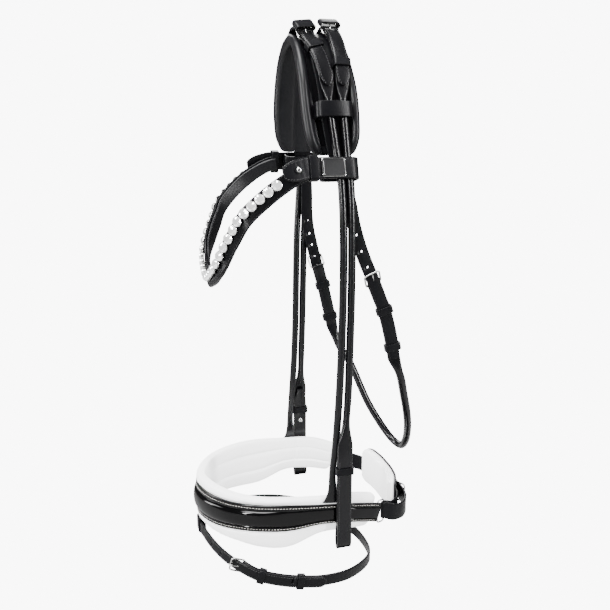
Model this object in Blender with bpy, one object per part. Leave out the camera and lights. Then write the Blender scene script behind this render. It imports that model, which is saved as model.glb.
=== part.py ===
"""A snaffle bridle hanging as it is worn.

It has a padded crown, a browband, rolled cheeks, a padded noseband, a flash strap and a throatlatch.
Frame: metres, +Z up, the horse faces -Y and its left (near) side is +X. The origin is where the crown
rests on the poll. Sizes are named in millimetres, and every mesh is scaled by MM as it is made.
"""

import math

import bmesh
import bpy
import numpy as np
from mathutils import Vector

MM = 0.001
GAP = 0.3  # air between pieces that touch
LEATHER = 2.6  # one thickness of strap leather
STRAP_W = 14.0  # width of the flat straps
ROLL = 8.0  # diameter of the rolled straps
BAR_R = 0.9  # radius of a buckle frame's wire and heel bar
FRAME_ROOM = 1.6  # from a strap's edge to the middle of its buckle frame's side bar
PRONG_R = 0.6
FLASH_W = 13.0
BILLET_W = 16.0  # width of the cheek billet that carries the bit
SIDES = (("near", 1), ("far", -1))
FAR_LEAN = -6  # the far cheeks hang this much further forward

# Half of the crown's inner arch, from the poll down the cheek: (X, Z) points of the near side.
ARCH = [(0, 0), (15, -5.5), (29, -19), (39, -37), (46, -58), (52, -82), (58, -106), (65, -130),
        (69, -150), (70.5, -180), (70.5, -300), (70.5, -420)]

UP, ALONG = (0, 0, 1), (0, 1, 0)  # width directions: bands stand upright, hanging straps lie fore and aft

COLOURS = {  # colour, roughness, metallic
    "leather": ((0.012, 0.012, 0.014), 0.45, 0.0),
    "patent": ((0.004, 0.004, 0.005), 0.08, 0.0),
    "white_pad": ((0.85, 0.85, 0.87), 0.6, 0.0),
    "steel": ((0.75, 0.75, 0.74), 0.2, 1.0),
    "crystal": ((0.9, 0.92, 0.95), 0.05, 0.0),
}


# ---------------------------------------------------------------- curves and meshes


def unit(v):
    return v / np.linalg.norm(v, axis=-1, keepdims=True)


def smooth(rows, step):
    """A Catmull-Rom curve through rows of any width, read about every `step` of its first columns' length."""
    rows = np.array(rows, float)
    ends = np.vstack([2 * rows[0] - rows[1], rows, 2 * rows[-1] - rows[-2]])
    out = []
    for a, b, c, d in zip(ends, ends[1:], ends[2:], ends[3:]):
        count = max(1, round(float(np.linalg.norm((c - b)[:3])) / step))
        t = np.arange(count)[:, None] / count
        bend, twist = 2 * a - 5 * b + 4 * c - d, 3 * b - a - 3 * c + d
        out.append(0.5 * (2 * b + (c - a) * t + bend * t**2 + twist * t**3))
    return np.vstack(out + [rows[-1:]])


def frames(points, across):
    """Tangent, width and face directions along a line, the width kept near the direction `across`."""
    tangent = unit(np.gradient(points, axis=0))
    width = np.broadcast_to(np.array(across, float), points.shape)
    width = unit(width - (width * tangent).sum(1, keepdims=True) * tangent)
    return tangent, width, np.cross(width, tangent)


def material(slot):
    if slot in bpy.data.materials:
        return bpy.data.materials[slot]
    colour, rough, metal = COLOURS[slot]
    made = bpy.data.materials.new(slot)
    made.use_nodes = True
    shader = made.node_tree.nodes["Principled BSDF"]
    shader.inputs["Base Color"].default_value = (*colour, 1)
    shader.inputs["Roughness"].default_value = rough
    shader.inputs["Metallic"].default_value = metal
    made.diffuse_color = (*colour, 1)
    return made


def add(name, points, faces, slot):
    """A closed mesh object from points in millimetres, its faces turned outwards."""
    mesh = bpy.data.meshes.new(name)
    mesh.from_pydata((np.array(points) * MM).tolist(), [], faces)
    work = bmesh.new()
    work.from_mesh(mesh)
    bmesh.ops.recalc_face_normals(work, faces=work.faces)
    work.to_mesh(mesh)
    work.free()
    mesh.materials.append(material(slot))
    mesh.set_sharp_from_angle(angle=math.radians(35))
    obj = bpy.data.objects.new(name, mesh)
    bpy.context.scene.collection.objects.link(obj)
    return obj


def loft(name, rings, slot, closed=False):
    """A skin over rings of equal point counts, capped at both ends unless it closes on itself."""
    rings = np.array(rings)
    count, sides = rings.shape[:2]
    last = count if closed else count - 1
    faces = [
        (i * sides + j, i * sides + (j + 1) % sides,
         (i + 1) % count * sides + (j + 1) % sides, (i + 1) % count * sides + j)
        for i in range(last) for j in range(sides)
    ]
    if not closed:
        faces += [tuple(range(sides)), tuple((count - 1) * sides + j for j in range(sides))]
    return add(name, rings.reshape(-1, 3), faces, slot)


def eight(w, t, c):
    """A rectangle w wide and t thick with corners cut by c: an octagon when w = t and c = 0.293 w."""
    w, t = w / 2, t / 2
    return [(w, t - c), (w - c, t), (c - w, t), (-w, t - c), (-w, c - t), (c - w, -t), (w - c, -t), (w, c - t)]


def flat(w=STRAP_W, t=LEATHER):
    return (w, t, 0.7)


def rolled(d=ROLL):
    return (d, d, 0.293 * d)


def turned(name, st, profile, sides=8):
    """A small round piece on a station's n axis, from a profile of (n, radius)."""
    around = np.linspace(0, 2 * math.pi, sides, False)
    loft(name, [[st.at(r * math.cos(t), n, r * math.sin(t)) for t in around] for n, r in profile], "steel")


def ribbon(name, rows, across, slot="leather", step=14):
    """A strap along rows of (x, y, z, width, thickness, corner cut)."""
    rows = smooth(rows, step)
    _, width, face = frames(rows[:, :3], across)
    rings = [
        [row[:3] + u * wide + v * out for u, v in eight(*row[3:6])]
        for row, wide, out in zip(rows, width, face)
    ]
    return loft(name, rings, slot)


def wire(name, points, radius, slot="steel", closed=False, sides=6, across=None):
    """A round bar of one radius along a line, or round a closed line."""
    points = np.array(points, float)
    if closed:
        tangent = unit(np.roll(points, -1, 0) - np.roll(points, 1, 0))
    else:
        tangent = unit(np.gradient(points, axis=0))
    hint = np.broadcast_to(np.array(across, float), points.shape)
    first = unit(hint - (hint * tangent).sum(1, keepdims=True) * tangent)
    second = np.cross(tangent, first)
    turn = [(math.cos(2 * math.pi * k / sides), math.sin(2 * math.pi * k / sides)) for k in range(sides)]
    rings = [[p + radius * (a * u + b * v) for a, b in turn] for p, u, v in zip(points, first, second)]
    return loft(name, rings, slot, closed)


def cut(obj, cutter):
    """Takes the cutter's solid away from the object, which carries the cutter with it."""
    cutter.parent = obj
    cutter.hide_render = True
    cutter.display_type = "WIRE"
    boolean = obj.modifiers.new("cut_" + cutter.name, "BOOLEAN")
    boolean.operation = "DIFFERENCE"
    boolean.object = cutter


def pivot(name, point, axis, pieces):
    """An empty on a joint's axis, its own Z along the axis, that carries the pieces that move."""
    carrier = bpy.data.objects.new("pivot_" + name, None)
    carrier.location = np.array(point) * MM
    carrier.rotation_euler = Vector(axis).to_track_quat("Z", "Y").to_euler()
    carrier.empty_display_size = 20 * MM
    bpy.context.scene.collection.objects.link(carrier)
    bpy.context.view_layer.update()
    for piece in pieces:
        obj = bpy.data.objects[piece]
        obj.parent = carrier
        obj.matrix_parent_inverse = carrier.matrix_world.inverted()


# ---------------------------------------------------------------- places on the side of the head

ARCH_FINE = smooth([(x, 0, z) for x, z in ARCH], 1.0)
ARCH_AT = np.concatenate([[0], np.cumsum(np.linalg.norm(np.diff(ARCH_FINE, axis=0), axis=1))])


def side(a, y, n):
    """The point at distance a down the arch (negative on the far side), y along the horse and n out from it."""
    hand, a = (1, a) if a >= 0 else (-1, -a)
    x, z = (np.interp(a, ARCH_AT, ARCH_FINE[:, k]) for k in (0, 2))
    low = max(a - 4, 0)
    dx, dz = (np.interp(a + 4, ARCH_AT, ARCH_FINE[:, k]) - np.interp(low, ARCH_AT, ARCH_FINE[:, k]) for k in (0, 2))
    out = unit(np.array([-dz if a >= 4 else (-dz) * a / 4, dx]))
    return np.array([hand * (x + n * out[0]), y, z + n * out[1]])


GRID = 10.0  # every layer on the head bends at the same places, so that the layers stay apart


def down_side(rows):
    """Strap rows (a, y, n, section) in order of a, read at the grid's places and put on the head."""
    table = np.array([(a, y, n, *section) for a, y, n, section in rows], float)
    first, last = table[0, 0], table[-1, 0]
    inner = np.arange(math.ceil((first + 2) / GRID), math.floor((last - 2) / GRID) + 1) * GRID
    at = np.concatenate([[first], inner, [last]])
    read = [np.interp(at, table[:, 0], table[:, k]) for k in range(1, 6)]
    return [(*side(a, y, n), w, t, c) for a, y, n, w, t, c in zip(at, *read)]


class Station:
    """A buckle's own frame: s points at the incoming strap, n away from the horse, w across."""

    def __init__(self, origin, s, n):
        self.o, self.s = np.array(origin, float), unit(np.array(s, float))
        self.n = unit(np.array(n, float) - np.dot(n, self.s) * self.s)
        self.w = np.cross(self.n, self.s)

    def at(self, s, n, w):
        return self.o + s * self.s + n * self.n + w * self.w


def tube(name, st, s, low_n, high_n, inner_w, length=8.0, wall=1.5, slot="leather", middle_w=0.0):
    """A flat keeper round a strap: a chamfered rectangle with a hole, from s - length/2 to s + length/2."""
    mid, high = (low_n + high_n) / 2, high_n - low_n
    rings = []
    for extra, end in ((wall, -1), (wall, 1), (0, 1), (0, -1)):
        shape = eight(inner_w + 2 * extra, high + 2 * extra, 0.8)
        rings.append([st.at(s + end * length / 2, mid + v, middle_w + u) for u, v in shape])
    return loft(name, rings, slot, closed=True)


BAR_N = -2.3  # the heel bar's centre under the incoming strap's inner face
FRAME_S, FRAME_N = 13.5, 4.4  # the front bar, ahead of the heel bar and over the incoming strap
PRONG_AIR = 0.25  # between the prong and the bars that it touches
SLOT_W = 3.2


def buckle(name, st, strap_w):
    """A closed wire frame from the heel bar to the front bar, and the prong that hooks round the heel bar."""
    half = strap_w / 2 + FRAME_ROOM
    slope = (FRAME_N - BAR_N) / FRAME_S
    corner = 2.6
    outline = [(0, -half), (0, half), (FRAME_S - corner, half), (FRAME_S - corner * 0.3, half - corner * 0.3),
               (FRAME_S, half - corner), (FRAME_S, corner - half),
               (FRAME_S - corner * 0.3, corner * 0.3 - half), (FRAME_S - corner, -half)]
    wire(name + "_frame", [st.at(s, BAR_N + s * slope, w) for s, w in outline], BAR_R, closed=True,
         across=st.n + 0.01 * st.s)
    hook = BAR_R + PRONG_AIR + PRONG_R
    turn = [math.radians(d) for d in (-120, -155, -190, -225, -260)]
    arc = [(hook * math.cos(t), BAR_N + hook * math.sin(t)) for t in turn]
    top = FRAME_N + hook
    path = arc + [(2.4, BAR_N + hook + 1.0), (FRAME_S, top), (FRAME_S + 1.6, top + 0.5)]
    wire(name + "_prong", [st.at(s, n, 0) for s, n in path], PRONG_R, across=st.w)


def block(name, st, s, n, w):
    """A box cutter in a station's frame, each extent given as (low, high)."""
    corners = [st.at(a, b, c) for a in s for b in n for c in w]
    faces = [(0, 1, 3, 2), (4, 6, 7, 5), (0, 4, 5, 1), (2, 3, 7, 6), (0, 2, 6, 4), (1, 5, 7, 3)]
    return add(name, corners, faces, "steel")


def fit_buckle(name, st, chape, incoming, strap_w):
    """Puts a buckle on a chape: a bore for its bar, a slot for its prong, and a slot in the incoming strap."""
    bore = wire(name + "_bore", [st.at(0, BAR_N, w) for w in (-strap_w, strap_w)], BAR_R + 0.3, sides=8,
                across=st.n)
    cut(chape, bore)
    cut(chape, block(name + "_gap", st, (-3.4, 6), (-7, 1), (-SLOT_W / 2, SLOT_W / 2)))
    cut(incoming, block(name + "_slot", st, (-2.2, 9.6), (-2, 5), (-SLOT_W / 2 + 0.2, SLOT_W / 2 - 0.2)))
    buckle(name, st, strap_w)
    pivot(name + "_prong", st.at(0, BAR_N, 0), -st.w, [name + "_prong"])


# ---------------------------------------------------------------- crown


def crown_pad():
    """A padded arch: rolled rims front and rear, and a channel between them for the straps."""
    half = [(0, 1, 26, 8, 9), (40, 2, 28, 7, 10.5), (70, 3.5, 29.5, 5.4, 12.5), (90, 4, 29.5, 5, 13),
            (112, 5, 28, 5, 12.5), (124, 5.5, 25, 4, 10.5), (130, 6, 22, 3, 4.4)]
    table = np.array([(-a, *rest) for a, *rest in reversed(half[1:])] + half, float)
    rings = []
    for a in np.concatenate([[-130, -125], np.arange(-12, 13) * GRID, [125, 130]]):
        y, h, floor, rim = (np.interp(a, table[:, 0], table[:, k]) for k in range(1, 5))
        outline = [(-h, 2.6), (3 - h, 0), (h - 3, 0), (h, 2.6), (h, rim - 2), (h - 2.6, rim), (h - 7, rim),
                   (h - 10, floor), (10 - h, floor), (7 - h, rim), (2.6 - h, rim), (-h, rim - 2)]
        rings.append([side(a, y + w, n) for w, n in outline])
    loft("crown_pad", rings, "leather")


CROWN_KEEPER_A = 90
CUT_A = 168  # where the hanging straps are jointed to the headpiece
NOSE_Y, CHEEK_Y = 10.4, 19.4  # where the noseband's and the bit's cheek straps hang there
CUT_GAP = 0.9
HANG_N = 9.05  # how far out the middle of a rolled strap hangs there


def crown_strap():
    """Lies in the channel and narrows at each end into the place where the throat billet hangs."""
    half = [(0, 1, 9.6, flat(26)), (40, 2, 9.4, flat(26)), (65, 4, 8.6, flat(24)), (100, 6, 8.6, flat(24)),
            (112, 7, 8.0, flat(22)), (124, 8.5, 6.1, flat(21)), (130, 9.5, 5.2, flat(20)),
            (140, 11.5, 3.9, flat(18)), (150, 12.8, 3.4, flat(16)), (160, 15, 3.2, flat(13)),
            (CUT_A - 2, 16.5, 3.0, flat(13))]
    rows = [(-a, *rest) for a, *rest in reversed(half[1:])] + half
    ribbon("crown_strap", down_side(rows), ALONG, step=1000)


def crown_keepers():
    for hand_name, hand in SIDES:
        a = hand * CROWN_KEEPER_A
        out = side(a, 0, 1) - side(a, 0, 0)
        st = Station(side(a, 5.3, 0), side(a + 2, 5.3, 0) - side(a - 2, 5.3, 0), out)
        tube("crown_keeper_" + hand_name, st, 0, 6.8, 18.8, 32, length=15)


# The two straps over the poll: their line (a, y) on the near side, which the far side mirrors.
FRONT_LINE = [(0, -14), (20, -11), (40, -4), (58, 0), (80, 1), (105, 3), (130, 6.5), (149, 9), (170, 10.5)]
REAR_LINE = [(0, 17), (20, 17), (40, 17.5), (58, 17), (72, 15.5), (90, 15), (110, 16), (130, 17.5), (149, 18.6),
             (170, 19.4)]


# How far out the middle of a strap lies: (a, n), out over the crown's pad and close to the head below it.
LIFT = [(0, 14.3), (100, 14.3), (112, 13.3), (124, 11.6), (130, 10.7), (138, 9.7), (149, 9.3), (160, 9.1),
        (200, 8)]


def lift(a):
    return float(np.interp(a, *np.array(LIFT).T))


def poll_strap(kind, line, bar):
    """A strap from the far side over the poll, the near strap it buckles to, the buckle and the keeper."""

    def y(a):
        return float(np.interp(abs(a), *np.array(line).T))

    near = [(bar - 2.2, y(bar), 13.6, flat(t=4.0)), (bar + 2.2, y(bar), 13.6, flat(t=4.0)),
            (bar + 6, y(bar + 6), 14.3, flat())]
    near += [(a, y(a), 14.3, flat()) for a in (bar + 16, 40, 55, 68)]
    near += [(a, y(a), lift(a), rolled()) for a in (*range(80, 170, 10), CUT_A - 0.2)]
    chape = ribbon(f"{kind}_near_top", down_side(near), ALONG, step=1000)

    far = [(-a, y(a), lift(a), rolled()) for a in (CUT_A - 0.2, *range(160, 60, -10), 66)]
    far += [(-a, y(a), 14.3, flat()) for a in (50, 40)]
    over = [(bar - 34, y(bar - 34), 14.6, flat()), (bar - 22, y(bar - 22), 15.6, flat()),
            (bar - 12, y(bar - 12), 17.2, flat())]
    over += [(a, y(a), 17.4, flat()) for a in (bar, bar + 10, bar + 20, 58)]
    over += [(64, y(64), 17.4, flat(12)), (67, y(67), 17.4, flat(6))]
    incoming = ribbon(f"{kind}_far_top", down_side(far + over), ALONG, step=1000)

    out = side(bar, 0, 1) - side(bar, 0, 0)
    face = 17.4 - LEATHER / 2
    st = Station(side(bar, y(bar), face), side(bar - 3, y(bar - 3), face) - side(bar + 3, y(bar + 3), face), out)
    fit_buckle(f"{kind}_poll", st, chape, incoming, STRAP_W)
    a = bar + (10.5 if kind == "noseband" else 35)
    out = side(a, 0, 1) - side(a, 0, 0)
    st = Station(side(a, y(a), 0), side(a - 3, y(a - 3), 0) - side(a + 3, y(a + 3), 0), out)
    low_n = 12.1 if kind == "noseband" else 12.7
    tube(f"{kind}_poll_keeper", st, 0, low_n, 19.2, STRAP_W + 1.2, length=7, wall=1.0)


# ---------------------------------------------------------------- browband

LOOP_A = 147
BROW_SHIFT = 3.6  # how far the crystals' line lies above the middle of the leather
CHAIN_LIFT, CRYSTAL_T = 1.7, 5.2  # the crystals' air above the leather, and how thick they are

# Near half of the crystals' line, from the keeper to the point of the V: (x, y, z).
BROW = [(76.8, -13, -121), (77.6, -30, -123.2), (77, -54, -134.5), (74, -70, -147), (67, -87, -164),
        (60, -95, -180), (53, -103, -197), (46, -108, -213), (35, -110.5, -223), (18, -111.5, -231),
        (0, -112, -236)]


def mirrored(points):
    """The near half from its outer end, then the same half on the far side back to its outer end."""
    return list(points) + [(-p[0], *p[1:]) for p in reversed(points[:-1])]


def browband():
    line = smooth(mirrored(BROW), 14)
    rise = unit(side(LOOP_A - 3, 0, 0) - side(LOOP_A + 3, 0, 0))
    near_end = np.clip((line[:, 1:2] + 60) / 30, 0, 1)
    same_side = np.sign(line[:, :1] * (1, 0, 0) + (0, 1, 1))
    across = unit(np.array(UP) * (1 - near_end) + near_end * rise * same_side)
    _, width, face = frames(line, across)
    outward = face * np.sign((face * (line - (0, -20, -150))).sum(1))[:, None]
    leather = line - np.clip((-24 - line[:, 1:2]) / 30, 0, 1) * BROW_SHIFT * width
    wide = 18.5 - 1.8 * near_end[:, 0]
    ribbon("browband_leather", [(*p, w, LEATHER, 0.7) for p, w in zip(leather, wide)], across, step=1000)
    on_front = line[:, 1] < -54
    chain = (line + outward * (LEATHER / 2 + CHAIN_LIFT + CRYSTAL_T / 2))[on_front]
    ribbon("crystal_chain", [(*p, 10.5, CRYSTAL_T, 1.8) for p in chain], across[on_front], "crystal", step=1000)


def fold_drop(y):
    """How far the front of the fold hangs down, following the browband."""
    return float(np.interp(y, (-51, -26), (7, 0)))


def browband_ends():
    """On each side: the leather end folded round the straps, its stud, plate and keeper."""
    for hand_name, hand in SIDES:
        a = hand * LOOP_A
        down = unit(side(a + 3 * hand, 0, 0) - side(a - 3 * hand, 0, 0))
        out = side(a, 0, 1) - side(a, 0, 0)

        def place(y, n, drop=0.0):
            return side(a, y, n) + drop * down

        fold = [(-51, 19.6, 7), (-49, 19.6, 14), (-40, 19.4, 20), (-26, 18, 21), (-13, 16.4, 21),
                (0, 16.4, 21), (13, 16.4, 21), (22, 15.8, 21), (26.2, 12.5, 21), (27, 7.5, 21),
                (26, 2.6, 21), (21, 0.2, 21), (8, 0.2, 21), (-6, 0.4, 21), (-9.6, 3.6, 21), (-9.8, 9, 21)]
        rows = [(*place(y, n, fold_drop(y)), w, 2.2, 0.6) for y, n, w in fold]
        loop = ribbon("browband_loop_" + hand_name, rows, down, step=9)
        st = Station(place(-20, 0), (0, -1, 0), out)
        tube("browband_keeper_" + hand_name, st, 0, 11.2, 19.4, 22.6, length=8, wall=1.2)
        face = 17.5 + GAP
        st = Station(place(0, face), (0, -1, 0), out)
        block("browband_plate_" + hand_name, st, (-12, 12), (0, 1.2), (-9, 9))
        stud = Station(place(-36, 0, fold_drop(-36)), (0, -1, 0), out)
        head = [(20.9, 1.2), (21.2, 2.6), (22.6, 2.9), (23.6, 1.6)]
        turned("browband_stud_" + hand_name, stud, head)
    kinds = ("loop", "keeper", "plate", "stud")
    ends = [f"browband_{kind}_{hand_name}" for kind in kinds for hand_name, _ in SIDES]
    middle = side(LOOP_A, 8, 0) * (0, 1, 1)
    pivot("browband", middle, (1, 0, 0), ["browband_leather", "crystal_chain", *ends])


# ---------------------------------------------------------------- cheeks and noseband


# The billet's loop round the bit's place, down its outer side and up its inner side: (x, z).
BIT_LOOP = [(90.2, -505), (91.3, -518), (90.6, -526), (87.4, -530), (84.2, -526), (83.4, -518), (84.6, -508),
            (86.3, -498)]


def cheeks():
    """Each cheek: a rolled strap that turns into a flat billet, folded up on its inner side round the bit's place."""
    for hand_name, hand in SIDES:
        lean = 0 if hand > 0 else FAR_LEAN
        cap = (BILLET_W, 2.6, 0.7)
        top = side(hand * (CUT_A + CUT_GAP), CHEEK_Y, HANG_N)
        rows = [(*top, *rolled()), (hand * 78.5, 20 + lean * 0.25, -165, *rolled())]
        rows += [(hand * x, y + lean * k, z, *rolled()) for x, y, z, k in (
            (78.5, 20.8, -205, 0.8), (78.5, 21, -255, 1), (79, 20, -310, 1), (80.5, 18.5, -355, 0.9),
            (84, 15.5, -386, 0.4))]
        rows += [(hand * 88.0, 13.6 + lean * 0.1, -408, BILLET_W, 3.2, 0.7)]
        rows += [(hand * x, 13, z, *cap) for x, z in ((89.6, -424), (89.6, -450), (89.6, -480))]
        rows += [(hand * x, 13, z, *cap) for x, z in BIT_LOOP]
        rows += [(hand * x, 13, z, *cap) for x, z in ((86.4, -480), (86.4, -450), (86.3, -436))]
        rows += [(hand * 85.3, 13, -422, 14, 2.4, 0.7), (hand * 83.6, 13, -408, 8, 2.2, 0.7)]
        ribbon("cheek_" + hand_name, rows, ALONG, step=12)
        st = Station((hand * 86.4, 13, -438), (0, 0, 1), (hand, 0, 0))
        tube(f"cheek_{hand_name}_keeper", st, 0, -1.7, 5.0, BILLET_W + 0.8, length=8, wall=1.3)
        stud = Station((hand * 86.4, 13, -452), (0, 0, 1), (-hand, 0, 0))
        turned(f"cheek_{hand_name}_stud", stud, ((1.6, 2.4), (2.6, 2.8), (3.6, 1.6)))
        pivot(f"cheek_{hand_name}_keeper", st.o, UP, [f"cheek_{hand_name}_keeper"])
        carried = [f"cheek_{hand_name}", f"cheek_{hand_name}_stud", f"pivot_cheek_{hand_name}_keeper"]
        pivot("cheek_" + hand_name, side(hand * CUT_A, CHEEK_Y, HANG_N + ROLL / 2), (0, -hand, 0), carried)


def noseband_cheeks():
    for hand_name, hand in SIDES:
        lean = 0 if hand > 0 else FAR_LEAN
        rows = [(*side(hand * (CUT_A + CUT_GAP), NOSE_Y, HANG_N), *rolled()),
                (hand * 78.5, 11.0 + lean * 0.25, -165, *rolled())]
        rows += [(hand * x, y + lean * k, z, *section) for x, y, z, k, section in (
            (78.5, 12, -205, 0.8, rolled()), (78.5, 12, -255, 1, rolled()), (78.5, 11, -310, 1, rolled()),
            (78.5, 9, -363, 1, rolled()), (78.8, 6, -410, 1, rolled()), (79.4, 2.5, -442, 0.8, rolled(7.4)),
            (82.4, 1.4, -463, 0.5, (10, 3.4, 0.9)), (82.9, 0.6, -470, 0.4, (14, 2.6, 0.7)),
            (82.9, 0, -476.6, 0.4, (18, 2.4, 0.7)))]
        ribbon("noseband_cheek_" + hand_name, rows, ALONG, step=14)


# Near half of the patent strip's line, from the ring to the nose: (x, y, z, height).
STRIP = [(69.6, 62, -506, 22), (74, 50, -501.5, 22), (81, 22, -493.5, 22), (82.8, -11, -489.3, 23),
         (81, -46, -489, 30), (73.5, -77, -488.5, 31), (58, -102.5, -489.5, 32), (40, -118.5, -491, 34),
         (20, -129, -492, 35), (0, -133.5, -492, 36)]
STRIP_T = 3.2
PAD_T = 9.0
# The pad's middle height and height at the same stations.
PAD_Z = [(-503, 34), (-500, 38), (-494, 42), (-492.5, 43), (-496.5, 57), (-495.5, 57), (-493, 54), (-492, 54),
         (-491.2, 53.4), (-491.2, 53.4)]


def noseband():
    strip = smooth(mirrored(STRIP), 12)
    rows = [(*p[:3], p[3], STRIP_T, 0.9) for p in strip]
    _, _, face = frames(strip[:, :3], UP)
    inward = face * -np.sign((face * (strip[:, :3] - (0, -30, -490))).sum(1))[:, None]
    outer = ribbon("noseband_strip", rows, UP, "patent", step=1000)
    height = smooth(mirrored([(x, y, z, pz, h) for (x, y, z, _), (pz, h) in zip(STRIP, PAD_Z)]), 12)
    middle = strip[:, :3] + inward * (STRIP_T / 2 + GAP + PAD_T / 2)
    pad = [(p[0], p[1], q[3], q[4], PAD_T, 3.4) for p, q in zip(middle, height)]
    ribbon("noseband_pad", pad[1:-1], UP, "white_pad", step=1000)
    return outer


RING_WIRE = 0.65
RING_LONG = 9.0  # between the middles of the ring's two upright bars


def rings(strip):
    """A rectangular ring in the eye at each end of the noseband; returns the middle of the near ring's rear bar."""
    for hand_name, hand in SIDES:
        p, q = np.array(STRIP[0][:3]), np.array(STRIP[1][:3])
        back = unit(p - q) * (1, 1, 0)
        back = unit(back) * (hand, 1, 1)
        front_bar = (p - unit(p - q) * 2.6) * (hand, 1, 1)
        st = Station(front_bar, back, (hand, 0, 0.001))
        bore = wire(f"ring_bore_{hand_name}", [st.at(0, 0, w) for w in (-20, 20)], RING_WIRE + 0.3, sides=8,
                    across=st.n)
        cut(strip, bore)
        half, corner = 13.6, 2.2
        outline = [(0, corner - half), (0, half - corner), (corner, half), (RING_LONG - corner, half),
                   (RING_LONG, half - corner), (RING_LONG, corner - half), (RING_LONG - corner, -half),
                   (corner, -half)]
        line = [st.at(s, 0, w) for s, w in outline]
        wire("noseband_ring_" + hand_name, line, RING_WIRE, closed=True, across=st.n)
        if hand > 0:
            near_bar = st.at(RING_LONG, 0, 0)
    return near_bar


def beside(points, d, step=12):
    """A level band's line moved d away from the horse, for a line that runs front, near side, back, far side."""
    line = smooth(points, step)
    tangent = unit(np.gradient(line, axis=0))
    flat_out = unit(np.stack([tangent[:, 1], -tangent[:, 0], 0 * tangent[:, 0]], axis=1))
    return line + d * flat_out


CHIN_STRAP_H = 20.0
CHIN_PAD_H, CHIN_PAD_Z = 46.0, -504
# Half of the chin strap's line, from the middle to the near ring: (x, y, z).
CHIN = [(0, 102, -513), (20, 101.2, -513), (40, 97, -512), (56, 87.5, -510), (63.6, 77, -508)]


def chin(bar):
    """Between the rings: the strap that loops through the near ring and buckles on itself, its backing and pad."""
    thin, full = (CHIN_STRAP_H, 2.0, 0.6), (CHIN_STRAP_H, LEATHER, 0.7)
    x, y, z = bar
    turn = RING_WIRE + GAP + 1.0
    far = [(-p[0], p[1], p[2], *full) for p in reversed(CHIN[1:])]
    eye = [(-x + 0.6, y - 2.0, z, CHIN_STRAP_H, 3.2, 0.8), (-x + 1.0, y + 2.4, z, CHIN_STRAP_H, 3.2, 0.8)]
    loop = [(x - turn, y + 3.0, z, *thin), (x - turn, y, z, *thin), (x - turn * 0.7, y - turn * 0.7, z, *thin),
            (x, y - turn, z, *thin), (x + turn * 0.7, y - turn * 0.7, z, *thin), (x + turn, y, z, *thin),
            (x + turn, y + 3.0, z, *thin)]
    back = [(68.4, 82, -509.5, *full), (61.5, 95, -511.5, *full), (46, 105, -513, *full),
            (30, 108.8, -513.5, *full), (14, 109.2, -513.5, *full), (0, 109.3, -513.5, *full),
            (-14, 108.8, -513.5, *full), (-19, 108.3, -513.5, 15, LEATHER, 0.7), (-22, 108, -513.5, 7, LEATHER, 0.7)]
    rows = eye + far + [(*p, *full) for p in CHIN] + loop + back
    strap = ribbon("chin_strap", rows, UP, step=9)
    eye_line = [(-x, y, z + d) for d in (-20, 20)]
    cut(strap, wire("chin_eye_bore", eye_line, RING_WIRE + GAP, sides=8, across=(1, 0, 0)))

    face = 109.2 - LEATHER / 2  # the incoming strap's inner face, at the buckle
    tab = [(16.2, face - 2.3, 4.0), (11.8, face - 2.3, 4.0), (7, face - 1.8, LEATHER), (-8, face - 1.9, LEATHER),
           (-18, face - 3.0, LEATHER), (-30, face - 4.9, 2.2)]
    chape = ribbon("chin_buckle_tab", [(x, y, -513.5, CHIN_STRAP_H, t, 0.7) for x, y, t in tab], UP, step=9)
    st = Station((14, face, -513.5), (1, 0, 0), (0, 1, 0))
    fit_buckle("chin", st, chape, strap, CHIN_STRAP_H)
    tube("chin_keeper", Station((-5, face, -513.5), (1, 0, 0), (0, 1, 0)), 0, -3.5, 3.0, CHIN_STRAP_H + 0.8,
         length=7, wall=0.8)

    middle = [(-p[0], p[1], p[2]) for p in reversed(CHIN[1:4])] + [tuple(p) for p in CHIN[:4]]
    middle = np.array(middle[::-1], float)
    middle[:, 2] = CHIN_PAD_Z
    backing = beside(middle, -(LEATHER / 2 + GAP + 1.0))
    ribbon("chin_backing", [(*p, CHIN_PAD_H, 2.0, 0.6) for p in backing[1:-1]], UP, step=1000)
    pad = beside(middle, -(LEATHER / 2 + GAP + 2.0 + GAP + 4.0))
    ribbon("chin_pad", [(*p, CHIN_PAD_H - 2, 8.0, 3.0) for p in pad[1:-1]], UP, "white_pad", step=1000)


# ---------------------------------------------------------------- flash

# The flash strap's line, from its loop under the nose along the near side to the tip, and from there round the jaw.
FLASH_NEAR = [(0, -131, -527.5), (10, -130, -528.6), (22, -125.5, -534), (36, -117.5, -541), (50, -107.5, -546.5),
              (64, -95, -551), (75, -77, -558), (81, -55, -563.5), (83, -34, -568), (82.5, -6, -573)]
FLASH_ROUND = [(70, 28, -580), (45, 59, -586), (20, 72, -588), (-20, 71, -588), (-48, 52, -580), (-66, 25, -568),
               (-74, -12, -557), (-72, -50, -549), (-60, -85, -542), (-38, -116, -535), (-22, -125.5, -530.5),
               (-10, -130, -528)]
FLASH_BUCKLE = FLASH_NEAR[5]
FLASH_KEEPERS = (FLASH_NEAR[6], FLASH_NEAR[8])


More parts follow.
